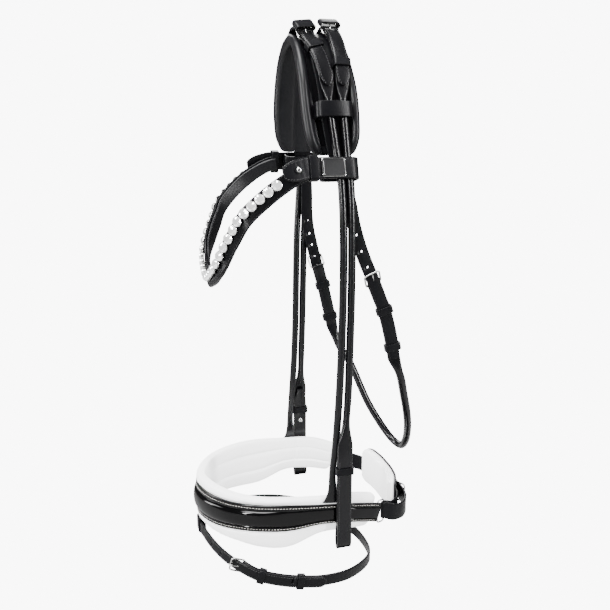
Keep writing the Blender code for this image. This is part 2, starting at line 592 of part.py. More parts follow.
def flash():
    line = smooth(FLASH_NEAR + FLASH_ROUND + FLASH_NEAR[:1], 3)
    bar = int(np.argmin(np.linalg.norm(line - np.array(FLASH_BUCKLE), axis=1)))
    st = Station(line[bar], line[bar - 2] - line[bar + 2], np.cross(line[bar - 2] - line[bar + 2], UP))
    if st.n[0] < 0:
        st = Station(line[bar], line[bar - 2] - line[bar + 2], -st.n)
    inner = beside(line, -1.6, 1000)[bar:]
    outer = beside(line, 1.3, 1000)
    tip = int(np.argmin(np.linalg.norm(outer - np.array(FLASH_NEAR[-1]), axis=1)))
    chape = [(*st.at(2.2, BAR_N, 0), FLASH_W, 4.0, 0.7), (*st.at(-2.2, BAR_N, 0), FLASH_W, 4.0, 0.7)]
    under = [(*p, FLASH_W, LEATHER, 0.7) for p in inner[3:-4:4]]
    through = [(*p, FLASH_W, LEATHER, 0.7) for p in outer[2:tip - 2:4]]
    end = [(*outer[tip - 1], 11, LEATHER, 0.7), (*outer[tip], 6, LEATHER, 0.7)]
    strap = ribbon("flash_strap", chape + under + through + end, UP, step=1000)
    fit_buckle("flash", st, strap, strap, FLASH_W)
    for number, point in enumerate(FLASH_KEEPERS, 1):
        i = int(np.argmin(np.linalg.norm(line - np.array(point), axis=1)))
        here = Station(line[i], line[i - 1] - line[i + 1], np.cross(UP, line[i + 1] - line[i - 1]) * -1)
        if here.n[0] < 0:
            here = Station(here.o, here.s, -here.n)
        tube(f"flash_keeper_{number}", here, 0, -3.3, 3.0, FLASH_W + 0.8, length=8, wall=1.4)
    pivot("flash_keeper_2", here.o, here.s, ["flash_keeper_2"])
    loop = Station((0, -130.8, -527.5), (1, 0, 0), (0, -1, 0))
    tube("flash_loop", loop, 0, -3.6, 3.6, FLASH_W + 1.8, length=12, wall=1.5)
    carried = ["flash_strap", "flash_frame", "flash_keeper_1", "pivot_flash_keeper_2", "pivot_flash_prong"]
    pivot("flash", loop.o, (1, 0, 0), carried)


def noseband_joint():
    """The noseband, with its chin strap and its flash, swings forward from the front edge of its cheek straps."""
    carried = ["noseband_strip", "noseband_pad", "flash_loop", "pivot_flash", "pivot_chin_prong"]
    carried += [f"noseband_{piece}_{hand_name}" for piece in ("cheek", "ring") for hand_name, _ in SIDES]
    carried += ["chin_" + piece for piece in ("strap", "backing", "pad", "buckle_tab", "frame", "keeper")]
    pivot("noseband", side(CUT_A, NOSE_Y - ROLL / 2, HANG_N) * (0, 1, 1), (-1, 0, 0), carried)


# ---------------------------------------------------------------- throatlatch

THROAT_X = 72.3  # the billets' middle, out from the centre plane
THROAT_TOP_Y, THROAT_TOP_W = 17, 13
# Each billet's line (y, z) down to its tip, with the buckle at index 5 and the two keepers after it.
THROAT = {
    1: [(20.2, -156), (24.5, -176), (30.5, -196), (37, -213), (44.1, -229), (49, -240), (56, -257),
        (61.2, -269.5), (68.2, -295), (73, -317), (74.4, -323)],
    -1: [(17.6, -160), (17.8, -180), (20, -200), (24, -218), (28.3, -235), (31.2, -246), (34.6, -258),
         (38, -270), (44.4, -297), (48.6, -316), (49.9, -322)],
}
THROAT_KEEPERS = {1: ((61.2, -269.5), (71.6, -310)), -1: ((38, -270), (47.3, -310))}
THROAT_ROLL = [(68.6, 80.5, -338), (65.5, 85.5, -350), (58, 92, -368), (46, 102.5, -397), (31, 111.5, -424),
               (11, 118.8, -451), (-10, 121, -467), (-30, 112.5, -459), (-49, 93, -423), (-61, 73.5, -374),
               (-66, 60.5, -352), (-68.4, 54.5, -338)]


def throatlatch():
    """A billet, buckle, prong and two keepers on each side, and one rolled strap round the throat between them."""
    ends, found = {}, {}
    for hand_name, hand in SIDES:
        pts = np.array(THROAT[hand], float)
        line = smooth([(hand * THROAT_X, y, z) for y, z in pts], 2)
        bar = np.array([hand * THROAT_X, *pts[5]])
        i = int(np.argmin(np.linalg.norm(line - bar, axis=1)))
        st = Station(bar - (hand * LEATHER / 2, 0, 0), line[i - 2] - line[i + 2], (hand, 0, 0))
        top = side(hand * CUT_A, THROAT_TOP_Y, 3.0)
        rows = [(*top, *flat(THROAT_TOP_W))] + [(hand * THROAT_X, y, z, *flat()) for y, z in pts[:-2]]
        rows += [(hand * THROAT_X, *pts[-2], *flat(12)), (hand * THROAT_X, *pts[-1], *flat(6))]
        billet = ribbon("throat_billet_" + hand_name, rows, ALONG, step=12)
        inner = hand * (THROAT_X - LEATHER / 2 - 1.6)
        chape = [(*st.at(2.2, BAR_N, 0), *flat(t=4.0)), (*st.at(-2.2, BAR_N, 0), *flat(t=4.0))]
        chape += [(inner, y, z, *flat()) for y, z in pts[6:]]
        ends[hand] = chape
        found[hand] = (st, billet)
        for number, (y, z) in enumerate(THROAT_KEEPERS[hand], 1):
            near = int(np.argmin(np.linalg.norm(line - (hand * THROAT_X, y, z), axis=1)))
            middle = line[near] - (hand * LEATHER / 2, 0, 0)
            here = Station(middle, line[near - 2] - line[near + 2], (hand, 0, 0))
            tube(f"throat_keeper_{hand_name}_{number}", here, 0, -3.3, 3.0, STRAP_W + 0.8, length=8, wall=1.4)
        pivot(f"throat_keeper_{hand_name}_2", here.o, here.s, [f"throat_keeper_{hand_name}_2"])
    thick = [(*p, 9.0, 9.0, 2.6) for p in THROAT_ROLL]
    roll = ribbon("throat_roll", ends[1] + thick + ends[-1][::-1], ALONG, step=13)
    for hand_name, hand in SIDES:
        st, billet = found[hand]
        fit_buckle("throat_" + hand_name, st, roll, billet, STRAP_W)
    carried = ["throat_roll"]
    for hand_name, _ in SIDES:
        carried += [f"throat_billet_{hand_name}", f"throat_{hand_name}_frame", f"throat_keeper_{hand_name}_1",
                    f"pivot_throat_keeper_{hand_name}_2", f"pivot_throat_{hand_name}_prong"]
    pivot("throatlatch", side(CUT_A, THROAT_TOP_Y + THROAT_TOP_W / 2, 3.0) * (0, 1, 1), (1, 0, 0), carried)


def main():
    for obj in list(bpy.data.objects):
        bpy.data.objects.remove(obj, do_unlink=True)
    crown_pad()
    crown_strap()
    crown_keepers()
    poll_strap("noseband", FRONT_LINE, 20)
    poll_strap("cheek", REAR_LINE, 12)
    browband()
    browband_ends()
    cheeks()
    noseband_cheeks()
    chin(rings(noseband()))
    flash()
    noseband_joint()
    throatlatch()


main()
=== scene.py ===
# %% [markdown]
# # A snaffle bridle, made ready for its portrait
# A bridle is a handful of leather straps that hang from one padded strap behind the horse's ears. The packed
# model already holds every strap, buckle and pad at its real size, grouped into bodies that move. This lesson puts
# the fine surface on that frame: rolled and flat leather, patent leather, padding, crystals and polished steel.
# Every piece is a grid of points worked out with numpy, so its shape is a formula that can be read and changed.

# %% Load the frame
import math

import bmesh
import bpy
import numpy as np
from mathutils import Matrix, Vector


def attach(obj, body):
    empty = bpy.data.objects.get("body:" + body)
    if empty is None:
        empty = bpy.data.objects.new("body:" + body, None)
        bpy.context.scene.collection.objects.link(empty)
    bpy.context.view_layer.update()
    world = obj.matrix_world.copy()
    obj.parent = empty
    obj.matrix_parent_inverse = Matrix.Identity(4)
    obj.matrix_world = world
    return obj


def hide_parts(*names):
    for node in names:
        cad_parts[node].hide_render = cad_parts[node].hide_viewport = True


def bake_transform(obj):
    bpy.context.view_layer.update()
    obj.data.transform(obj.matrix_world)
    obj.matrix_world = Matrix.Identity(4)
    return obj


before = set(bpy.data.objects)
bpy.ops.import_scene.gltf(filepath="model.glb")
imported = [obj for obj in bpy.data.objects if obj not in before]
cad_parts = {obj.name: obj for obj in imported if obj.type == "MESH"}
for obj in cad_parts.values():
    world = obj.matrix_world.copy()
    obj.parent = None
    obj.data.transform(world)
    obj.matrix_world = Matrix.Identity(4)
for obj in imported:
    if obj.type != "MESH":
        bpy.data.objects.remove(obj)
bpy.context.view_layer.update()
MM = 0.001

# %% [markdown]
# ## The camera and the light
# A bridle is shown from its left side, a little from the front, at the height of the crown, through a short
# portrait lens. A soft box hangs overhead, and two narrow strips of light draw the bright lines that run down
# rolled leather. The floor and the room are plain white to the camera alone. Everything else sees them dim, so
# black leather has something dark to mirror.

# %% Camera, floor and lamps
AZIMUTH, ELEVATION = math.radians(73.81), math.radians(14.14)
BACK = Vector((math.sin(AZIMUTH) * math.cos(ELEVATION), -math.cos(AZIMUTH) * math.cos(ELEVATION),
               math.sin(ELEVATION)))
EYE = Vector((0.72706, -0.21653, -0.08453))
FLOOR_Z = -0.78
CAMERA_WHITE, ROOM_LIGHT, FLOOR_GREY = 9.0, 0.25, 0.3


def make_camera():
    """A 41 mm lens on a 36 mm sensor, at EYE, looking along -BACK."""
    lens = bpy.data.cameras.new("camera")
    lens.lens = 41
    lens.sensor_width = 36
    lens.clip_start = 0.01
    camera = bpy.data.objects.new("camera", lens)
    camera.location = EYE
    camera.rotation_euler = BACK.to_track_quat("Z", "Y").to_euler()
    bpy.context.scene.collection.objects.link(camera)
    bpy.context.scene.camera = camera


def make_lamp(name, place, size, power, aim=(0, 0, -0.3)):
    """A soft box: a square or oblong area lamp at a place, turned to its aim."""
    lamp = bpy.data.lights.new(name, "AREA")
    lamp.shape = "RECTANGLE"
    lamp.size, lamp.size_y = size
    lamp.energy = power
    holder = bpy.data.objects.new(name, lamp)
    holder.location = place
    holder.rotation_euler = (Vector(place) - Vector(aim)).to_track_quat("Z", "Y").to_euler()
    bpy.context.scene.collection.objects.link(holder)


def seen_white(tree, kind, other, output):
    """Joins to the output a glowing white of a kind for the camera's own rays, and `other` for every other ray."""
    path = tree.nodes.new("ShaderNodeLightPath")
    glow = tree.nodes.new(kind)
    glow.inputs["Color"].default_value = (1, 1, 1, 1)
    glow.inputs["Strength"].default_value = CAMERA_WHITE
    mix = tree.nodes.new("ShaderNodeMixShader")
    tree.links.new(path.outputs["Is Camera Ray"], mix.inputs["Fac"])
    tree.links.new(other, mix.inputs[1])
    tree.links.new(glow.outputs[0], mix.inputs[2])
    tree.links.new(mix.outputs[0], output)


def quads(steps, count, closed=False):
    """Faces of a grid of rings: corners (i, j), (i, j+1), (i+1, j+1) and (i+1, j), with j going round."""
    i, j = np.meshgrid(np.arange(steps if closed else steps - 1), np.arange(count), indexing="ij")
    after, beside = (i + 1) % steps, (j + 1) % count
    corners = [i * count + j, i * count + beside, after * count + beside, after * count + j]
    return np.stack(corners, -1).reshape(-1, 4)


def make_floor():
    """A round floor: twelve rings of 48 points, flat, with a cap in the middle."""
    turn = np.linspace(0, 2 * math.pi, 48, endpoint=False)
    radius = np.linspace(0.2, 6, 12)[:, None]
    points = np.stack([radius * np.cos(turn), radius * np.sin(turn), FLOOR_Z + 0 * radius * turn], -1)
    faces = quads(12, 48)
    mesh = bpy.data.meshes.new("floor")
    mesh.from_pydata(points.reshape(-1, 3).tolist(), [], [list(range(47, -1, -1))] + faces[:, ::-1].tolist())
    mesh.shade_smooth()
    floor = bpy.data.objects.new("floor", mesh)
    bpy.context.scene.collection.objects.link(floor)
    paint = bpy.data.materials.new("pale_floor")
    paint.use_nodes = True
    tree = paint.node_tree
    shader = tree.nodes["Principled BSDF"]
    shader.inputs["Base Color"].default_value = (FLOOR_GREY, FLOOR_GREY, FLOOR_GREY, 1)
    shader.inputs["Roughness"].default_value = 0.9
    seen_white(tree, "ShaderNodeEmission", shader.outputs["BSDF"], tree.nodes["Material Output"].inputs["Surface"])
    mesh.materials.append(paint)


make_camera()
make_floor()
make_lamp("top_box", (0.4, -0.5, 1.6), (1.2, 1.2), 120)
make_lamp("key_strip", (1.3, -1.6, 0.5), (0.16, 1.8), 70)
make_lamp("rear_strip", (1.3, 1.3, 0.4), (0.14, 1.8), 64)
make_lamp("front_box", (-0.5, -1.9, 0.2), (0.5, 1.4), 50)
make_lamp("far_box", (-1.6, 0.4, 0.4), (0.8, 1.6), 30)
world = bpy.data.worlds.new("studio")
world.use_nodes = True
bpy.context.scene.world = world
backdrop = world.node_tree.nodes["Background"]
backdrop.inputs["Color"].default_value = (1, 1, 1, 1)
backdrop.inputs["Strength"].default_value = ROOM_LIGHT
seen_white(world.node_tree, "ShaderNodeBackground", backdrop.outputs["Background"],
           world.node_tree.nodes["World Output"].inputs["Surface"])
print("camera at", tuple(round(v, 3) for v in EYE))

# %% [markdown]
# ## Grain, edges and creases
# Leather is never one flat colour. Its grain is a fine net of pebbles with wider, fainter clouds of tone, and its
# cut edges are dyed and burnished, so they catch the light another way. The grain and the edge are made once, as
# node groups, and each finish sets their scale and depth. A strap carries a number called edge on its points: it is
# 0 along the middle of the strap and 1 at its cut edges, so a crease can follow the strap wherever it goes.

# %% Node groups


def group_with(name, inputs, outputs):
    """A shader node group with float or vector inputs (name, kind, value) and outputs (name, kind)."""
    tree = bpy.data.node_groups.new(name, "ShaderNodeTree")
    for label, kind, value in inputs:
        socket = tree.interface.new_socket(label, in_out="INPUT", socket_type="NodeSocket" + kind)
        if value is not None:
            socket.default_value = value
    for label, kind in outputs:
        tree.interface.new_socket(label, in_out="OUTPUT", socket_type="NodeSocket" + kind)
    return tree, tree.nodes.new("NodeGroupInput"), tree.nodes.new("NodeGroupOutput")


def maths(tree, operation, first, second=None, third=None):
    """One Math node; a number is set on it and a socket is linked to it."""
    node = tree.nodes.new("ShaderNodeMath")
    node.operation = operation
    for slot, value in zip(node.inputs, (first, second, third)):
        if value is None:
            continue
        if isinstance(value, (int, float)):
            slot.default_value = value
        else:
            tree.links.new(value, slot)
    return node.outputs[0]


def texture(tree, kind, vector, scale, **settings):
    """A texture node on a vector; scale is a number or a socket."""
    node = tree.nodes.new("ShaderNodeTex" + kind)
    tree.links.new(vector, node.inputs["Vector"])
    if isinstance(scale, (int, float)):
        node.inputs["Scale"].default_value = scale
    else:
        tree.links.new(scale, node.inputs["Scale"])
    for label, value in settings.items():
        node.inputs[label].default_value = value
    return node


def make_grain():
    """Height: rounded pebbles (a Voronoi net) plus fine noise. Tone: slow clouds from 0 to 1."""
    tree, given, result = group_with("leather_grain", [("Vector", "Vector", None), ("Scale", "Float", 900.0)],
                                     [("Height", "Float"), ("Tone", "Float")])
    pebbles = texture(tree, "Voronoi", given.outputs["Vector"], given.outputs["Scale"]).outputs["Distance"]
    fine = maths(tree, "MULTIPLY", given.outputs["Scale"], 2.3)
    fuzz = texture(tree, "Noise", given.outputs["Vector"], fine, Detail=3.0).outputs["Fac"]
    height = maths(tree, "MULTIPLY_ADD", fuzz, 0.45, pebbles)
    clouds = texture(tree, "Noise", given.outputs["Vector"], 38.0, Detail=4.0).outputs["Fac"]
    tree.links.new(height, result.inputs["Height"])
    tree.links.new(clouds, result.inputs["Tone"])
    return tree


def make_edge():
    """Mask: rises to 1 on the cut edge, over Edge from 0.93 to 0.99. Crease: a groove where Edge is near Place."""
    tree, given, result = group_with("strap_edge", [("Edge", "Float", 0.0), ("Place", "Float", 0.84)],
                                     [("Mask", "Float"), ("Crease", "Float")])
    node = tree.nodes.new("ShaderNodeMapRange")
    node.interpolation_type = "SMOOTHSTEP"
    node.inputs["From Min"].default_value = 0.93
    node.inputs["From Max"].default_value = 0.99
    tree.links.new(given.outputs["Edge"], node.inputs["Value"])
    tree.links.new(node.outputs["Result"], result.inputs["Mask"])
    away = maths(tree, "ABSOLUTE", maths(tree, "SUBTRACT", given.outputs["Edge"], given.outputs["Place"]))
    groove = maths(tree, "SUBTRACT", 1.0, maths(tree, "DIVIDE", away, 0.035))
    tree.links.new(maths(tree, "MAXIMUM", groove, 0.0), result.inputs["Crease"])
    return tree


GRAIN, EDGE = make_grain(), make_edge()
print("groups:", GRAIN.name, EDGE.name)

# %% [markdown]
# ## The finishes
# The main finishes are black strap leather, rolled leather, softer lining leather, black patent, white padding
# leather, polished steel and crystal. Leather keeps a soft, broken shine; patent has a clear coat that mirrors the
# lamps; the white padding is matt. The padding and the crystals carry a painted glow (emission) to stay bright
# against the white room.
# Constant numbers sit on the shader itself, and only what changes over the
# surface comes through nodes.

# %% Materials


def finish(name, colour, rough, swing=0.08, second=None, scale=900.0, depth=0.04, edge=0.0, creased=0.0, **extra):
    """A leather-like finish: colour clouds from `colour` to `second`, roughness rough +- swing, grain and creases."""
    made = bpy.data.materials.new(name)
    made.use_nodes = True
    tree = made.node_tree
    shader = tree.nodes["Principled BSDF"]
    for label, value in extra.items():
        shader.inputs[label.replace("_", " ")].default_value = value
    place = tree.nodes.new("ShaderNodeTexCoord").outputs["Object"]
    grain = tree.nodes.new("ShaderNodeGroup")
    grain.node_tree = GRAIN
    grain.inputs["Scale"].default_value = scale
    tree.links.new(place, grain.inputs["Vector"])
    mix = tree.nodes.new("ShaderNodeMix")
    mix.data_type = "RGBA"
    mix.inputs["A"].default_value = (*colour, 1)
    mix.inputs["B"].default_value = (*(second or [c * 1.6 for c in colour]), 1)
    tree.links.new(grain.outputs["Tone"], mix.inputs["Factor"])
    shade = mix.outputs["Result"]
    roughness = maths(tree, "MULTIPLY_ADD", grain.outputs["Tone"], 2 * swing, rough - swing)
    height = grain.outputs["Height"]
    if creased:
        carried = tree.nodes.new("ShaderNodeAttribute")
        carried.attribute_name = "edge"
        strip = tree.nodes.new("ShaderNodeGroup")
        strip.node_tree = EDGE
        tree.links.new(carried.outputs["Fac"], strip.inputs["Edge"])
        worn = tree.nodes.new("ShaderNodeMix")
        worn.data_type = "RGBA"
        worn.inputs["B"].default_value = (*[c + edge for c in colour], 1)
        tree.links.new(maths(tree, "MULTIPLY", strip.outputs["Mask"], 0.6), worn.inputs["Factor"])
        tree.links.new(shade, worn.inputs["A"])
        shade = worn.outputs["Result"]
        height = maths(tree, "MULTIPLY_ADD", strip.outputs["Crease"], -creased, height)
    tree.links.new(shade, shader.inputs["Base Color"])
    tree.links.new(roughness, shader.inputs["Roughness"])
    bump = tree.nodes.new("ShaderNodeBump")
    bump.inputs["Strength"].default_value = 0.6
    bump.inputs["Distance"].default_value = depth * MM
    tree.links.new(height, bump.inputs["Height"])
    tree.links.new(bump.outputs["Normal"], shader.inputs["Normal"])
    made.diffuse_color = (*colour, 1)
    return made


STRAP = finish("strap_leather", (0.0022, 0.0022, 0.0028), 0.33, edge=0.004, creased=9.0, depth=0.045,
               Specular_IOR_Level=0.13)
ROLLED = finish("rolled_leather", (0.0016, 0.0016, 0.0021), 0.24, depth=0.03, Specular_IOR_Level=0.30)
SOFT = finish("soft_leather", (0.003, 0.003, 0.0037), 0.38, scale=700.0, depth=0.05, Specular_IOR_Level=0.22)
CHANNEL = finish("channel_suede", (0.001, 0.001, 0.0013), 0.9, scale=1500.0, depth=0.08, Specular_IOR_Level=0.04)
PATENT = finish("patent_leather", (0.0004, 0.0004, 0.0005), 0.10, swing=0.03, scale=120.0, depth=0.05,
                Specular_IOR_Level=0.1, Coat_Weight=0.3, Coat_Roughness=0.03)
# Painted glow: the white leather's emission makes the pads brighter than the lamps alone light them.
WHITE_PAINTED_GLOW = finish("white_leather_painted_glow", (0.93, 0.93, 0.935), 0.6, swing=0.06, second=(0.97, 0.97, 0.972), scale=650.0,
               depth=0.08, Emission_Color=(1.0, 1.0, 1.0, 1.0), Emission_Strength=1.1)
THREAD = finish("black_thread", (0.016, 0.016, 0.017), 0.6, scale=2500.0)
PALE_THREAD = finish("pale_thread", (0.36, 0.35, 0.33), 0.6, scale=2500.0)
STEEL = finish("polished_steel", (0.42, 0.42, 0.41), 0.17, swing=0.05, second=(0.58, 0.58, 0.57), scale=300.0,
               depth=0.004, Metallic=1.0)
ENAMEL = finish("dark_enamel", (0.004, 0.004, 0.0045), 0.3, scale=900.0, depth=0.03, Coat_Weight=0.6)
# Painted glow: the crystals' emission stands in for the sparkle that lamps would light in cut glass.
CRYSTAL_PAINTED_GLOW = finish("cut_crystal_painted_glow", (0.93, 0.94, 0.96), 0.03, swing=0.01, second=(1.0, 1.0, 1.0), scale=60.0,
                 depth=0.002, Metallic=0.9, Emission_Color=(1.0, 1.0, 1.0, 1.0), Emission_Strength=1.0)
print("finishes:", len(bpy.data.materials))

# %% [markdown]
# ## Curves, straps and skins
# Every strap is a profile carried along a path. A path is a short table of points, drawn as a Catmull-Rom curve
# and cut again into even steps. At each step three directions are known: along the strap, across its width, and
# out of its face. The profile is a rectangle with round corners: with a small radius it is a flat strap, and with a
# radius of half its width it is a rolled one, so one strap can turn from rolled to flat along its length.

# %% Curves


def unit(v):
    """The direction of each vector, with length 1."""
    return v / np.maximum(np.linalg.norm(v, axis=-1, keepdims=True), 1e-9)


def lengths(points):
    """How far along a polyline each of its points is."""
    return np.concatenate([[0], np.cumsum(np.linalg.norm(np.diff(points, axis=0), axis=1))])


def evenly(rows, step):
    """The same polyline with its points about `step` apart, measured along the first three columns."""
    at = lengths(rows[:, :3])
    where = np.linspace(0, at[-1], max(3, round(at[-1] / step)) + 1)
    return np.stack([np.interp(where, at, column) for column in rows.T], 1)


def through(rows, step=2.0, closed=False):
    """Catmull-Rom: half of (2b + (c-a)t + (2a-5b+4c-d)t^2 + (3b-a-3c+d)t^3) between each pair b, c of rows."""
    rows = np.asarray(rows, float)
    if closed:
        ends = np.vstack([rows[-1:], rows, rows[:2]])
    else:
        ends = np.vstack([2 * rows[0] - rows[1], rows, 2 * rows[-1] - rows[-2]])
    a, b, c, d = (ends[k:len(ends) - 3 + k, None] for k in range(4))
    t = np.linspace(0, 1, 12, endpoint=False)[None, :, None]
    curve = 0.5 * (2 * b + (c - a) * t + (2 * a - 5 * b + 4 * c - d) * t**2 + (3 * b - a - 3 * c + d) * t**3)
    last = rows[:1] if closed else rows[-1:]
    return evenly(np.vstack([curve.reshape(-1, rows.shape[1]), last]), step)


def directions(points, across):
    """Along, across and out of a strap; across stays as near the given direction as the path allows."""
    along = unit(np.gradient(points, axis=0))
    width = np.broadcast_to(np.asarray(across, float), points.shape)
    width = unit(width - (width * along).sum(1, keepdims=True) * along)
    return along, width, np.cross(width, along)


CORNER = np.radians(np.linspace(0, 90, 6))
TURN = np.concatenate([CORNER, CORNER + math.pi / 2, CORNER + math.pi, CORNER + 1.5 * math.pi])
SIGN_X = np.repeat([1, -1, -1, 1], 6)
SIGN_Y = np.repeat([1, 1, -1, -1], 6)


def rounded(w, t, r):
    """Points round a w by t rectangle with corner radius r: the corner's centre plus r times (cos, sin)."""
    w, t, r = (np.atleast_1d(np.asarray(v, float))[:, None] for v in (w, t, r))
    return np.stack([SIGN_X * (w / 2 - r) + r * np.cos(TURN), SIGN_Y * (t / 2 - r) + r * np.sin(TURN)], -1)


def skin(name, grid, look, edge=None, closed=False):
    """A mesh from a grid (steps, round, 3) in millimetres, closed round, and capped unless it closes lengthways."""
    steps, count = grid.shape[:2]
    faces = quads(steps, count, closed).tolist()
    if not closed:
        faces += [list(range(count)), list(range((steps - 1) * count, steps * count))]
    mesh = bpy.data.meshes.new(name)
    mesh.from_pydata((grid.reshape(-1, 3) * MM).tolist(), [], faces)
    if edge is not None:
        mesh.attributes.new("edge", "FLOAT", "POINT").data.foreach_set("value", edge.astype(np.float32).ravel())
    return shown(name, mesh, look)


def shown(name, mesh, look, angle=40):
    """The object of a finished mesh: faces turned outwards, round parts smooth and corners sharp."""
    work = bmesh.new()
    work.from_mesh(mesh)
    bmesh.ops.recalc_face_normals(work, faces=work.faces)
    work.to_mesh(mesh)
    work.free()
    mesh.shade_smooth()
    mesh.set_sharp_from_angle(angle=math.radians(angle))
    mesh.materials.append(look)
    piece = bpy.data.objects.new(name, mesh)
    bpy.context.scene.collection.objects.link(piece)
    return piece


def fit(piece, slot, body, *nodes):
    """Parents a piece to its body's empty if the body is one name, else bakes its place into the mesh; hides the
    plain nodes it stands for. The slot is not used.
    """
    if isinstance(body, str):
        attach(piece, body)
    else:
        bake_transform(piece)
    if nodes:
        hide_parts(*nodes)
    return piece


print("profile points:", len(TURN))

# %% Straps


def lay(rows, across, step=2.0, curve=True):
    """A strap's rows (x, y, z, width, thickness, corner radius) at even steps, its ends drawn in, with directions."""
    rows = through(rows, step) if curve else np.asarray(rows, float)
    along, width, face = directions(rows[:, :3], across)
    first, last = rows[0].copy(), rows[-1].copy()
    for tip in (first, last):
        tip[3:5] -= np.minimum(1.0, tip[3:5] * 0.35)
        tip[5] = min(tip[5], tip[4] / 2)
    second, before = rows[0].copy(), rows[-1].copy()
    second[:3] += 0.5 * along[0]
    before[:3] -= 0.5 * along[-1]
    rows = np.vstack([first, second, rows[1:-1], before, last])
    doubled = [0, 0, *range(1, len(along) - 1), -1, -1]
    return {"rows": rows, "along": along[doubled], "width": width[doubled], "face": face[doubled]}


def strap(name, laid, look):
    """The skin of a laid strap: centre + x times across + y times out, for (x, y) round the profile."""
    rows = laid["rows"]
    xy = rounded(*rows[:, 3:6].T)
    grid = rows[:, None, :3] + xy[..., :1] * laid["width"][:, None] + xy[..., 1:] * laid["face"][:, None]
    return skin(name, grid, look, edge=np.abs(xy[..., 0]) * 2 / rows[:, 3:4])


STITCH_PITCH = 2.9
PILL_ALONG = np.array([-1.0, -0.72, 0, 0.72, 1.0])
PILL_THICK = np.array([0.15, 0.85, 1.0, 0.85, 0.15])


def stitch_mesh(name, points, along, out, look, long=1.05, thick=0.26):
    """One small pill of thread at every point: rings of 6 at PILL_ALONG, as thick as PILL_THICK."""
    turn = np.linspace(0, 2 * math.pi, 6, endpoint=False)
    side_way = np.cross(along, out)
    ring = np.cos(turn)[:, None] * side_way[:, None, None] + np.sin(turn)[:, None] * out[:, None, None]
    grid = points[:, None, None] + long * PILL_ALONG[:, None, None] * along[:, None, None]
    grid = grid + thick * PILL_THICK[:, None, None] * ring
    count = len(points)
    faces = (quads(5, 6)[None] + 30 * np.arange(count)[:, None, None]).reshape(-1, 4).tolist()
    caps = np.array([[0, 1, 2, 3, 4, 5], [24, 25, 26, 27, 28, 29]])
    faces += (caps[None] + 30 * np.arange(count)[:, None, None]).reshape(-1, 6).tolist()
    mesh = bpy.data.meshes.new(name)
    mesh.from_pydata((grid.reshape(-1, 3) * MM).tolist(), [], faces)
    return shown(name, mesh, look)


def face_towards(laid, step, out):
    """1 or -1: which side of a laid strap looks along `out` at that step."""
    return int(np.sign((laid["face"][step] * out).sum()))


def seams(name, laid, inset, face_side, start=4.0, stop=4.0):
    """Stitches along both edges of a strap, inset from them, lying on the face it shows."""
    rows = laid["rows"]
    lines = []
    for hand in (-1, 1):
        line = rows[:, :3] + hand * (rows[:, 3:4] / 2 - inset) * laid["width"]
        line = line + face_side * (rows[:, 4:5] / 2 + 0.02) * laid["face"]
        table = evenly(np.hstack([line, laid["along"], laid["face"]]), STITCH_PITCH)
        skip, drop = round(start / STITCH_PITCH), round(stop / STITCH_PITCH)
        lines.append(table[skip:len(table) - drop])
    table = np.vstack(lines)
    return stitch_mesh(name, table[:, :3], unit(table[:, 3:6]), face_side * unit(table[:, 6:9]), THREAD)


print("stitch every", STITCH_PITCH, "mm")

# %% [markdown]
# ## The shape of the head
# The headpiece lies on half of an arch: over the poll, down behind the ears and along the cheek. A place on it is
# given by how far down the arch it lies, how far forward or back, and how far out from the skin. The arch is a curve
# through a few points, and its own normal says which way is out.

# %% Places on the head
ARCH = [(0, 0), (15, -5.5), (29, -19), (39, -37), (46, -58), (52, -82), (58, -106), (65, -130), (69, -150),
        (70.5, -180), (70.5, -300), (70.5, -420)]
ARCH_LINE = through([(x, 0, z) for x, z in ARCH], 1.0)
ARCH_AT = lengths(ARCH_LINE)
UP, FORE = (0, 0, 1), (0, 1, 0)
HANDS = (("near", 1), ("far", -1))
CUT_A = 168


def on_arch(d):
    """The arch's (x, z) at distance d down it."""
    return np.interp(d, ARCH_AT, ARCH_LINE[:, 0]), np.interp(d, ARCH_AT, ARCH_LINE[:, 2])


def side(a, y, n):
    """Arch point at distance |a|, on the far side when a < 0, plus n times the arch's outward normal."""
    a, y, n = np.broadcast_arrays(*(np.asarray(v, float) for v in (a, y, n)))
    hand, d = np.where(a < 0, -1, 1), np.abs(a)
    x, z = on_arch(d)
    high, low = on_arch(d + 4), on_arch(np.maximum(d - 4, 0))
    out = unit(np.stack([(low[1] - high[1]) * np.minimum(d / 4, 1), high[0] - low[0]], -1))
    return np.stack([hand * (x + n * out[..., 0]), y, z + n * out[..., 1]], -1)


def settle(values, window):
    """A moving average with a cosine window, the ends held by reflecting them through themselves."""
    weight = np.hanning(window + 2)[1:-1]
    pad = window // 2
    low = 2 * values[:1] - values[pad:0:-1]
    high = 2 * values[-1:] - values[-2:-pad - 2:-1]
    full = np.vstack([low, values, high])
    return np.stack([np.convolve(column, weight / weight.sum(), "valid") for column in full.T], 1)


def down_side(rows, step=2.0, window=7):
    """Rows (a, y, n, width, thickness, radius) read every `step` along the arch, eased, and put on the head."""
    table = np.asarray(rows, float)
    at = np.linspace(table[0, 0], table[-1, 0], round((table[-1, 0] - table[0, 0]) / step) + 1)
    read = np.stack([np.interp(at, table[:, 0], table[:, k]) for k in range(1, 6)], 1)
    read = settle(read, window)
    return np.column_stack([side(at, read[:, 0], read[:, 1]), read[:, 2:]])


LEATHER, STRAP_W, ROLL = 2.6, 14.0, 8.0


def flat(w=STRAP_W, t=LEATHER):
    """Width, thickness and corner radius of a flat strap."""
    return (w, t, min(1.0, t / 2))


def roll(d=ROLL):
    """Width, thickness and corner radius of a rolled strap: a round section."""
    return (d, d, d / 2)


print("arch length:", round(float(ARCH_AT[-1])), "mm")

# %% [markdown]
# ## The padded crown
# The crown is a long cushion with a rolled rim at the front and rear and a channel between, so that the straps
# press on the rolls and not on the ears. Its profile is drawn with corners and then rounded by cutting the corners
# twice (Chaikin's rule), all along the crown at once. Two shallow seams run down its lining.

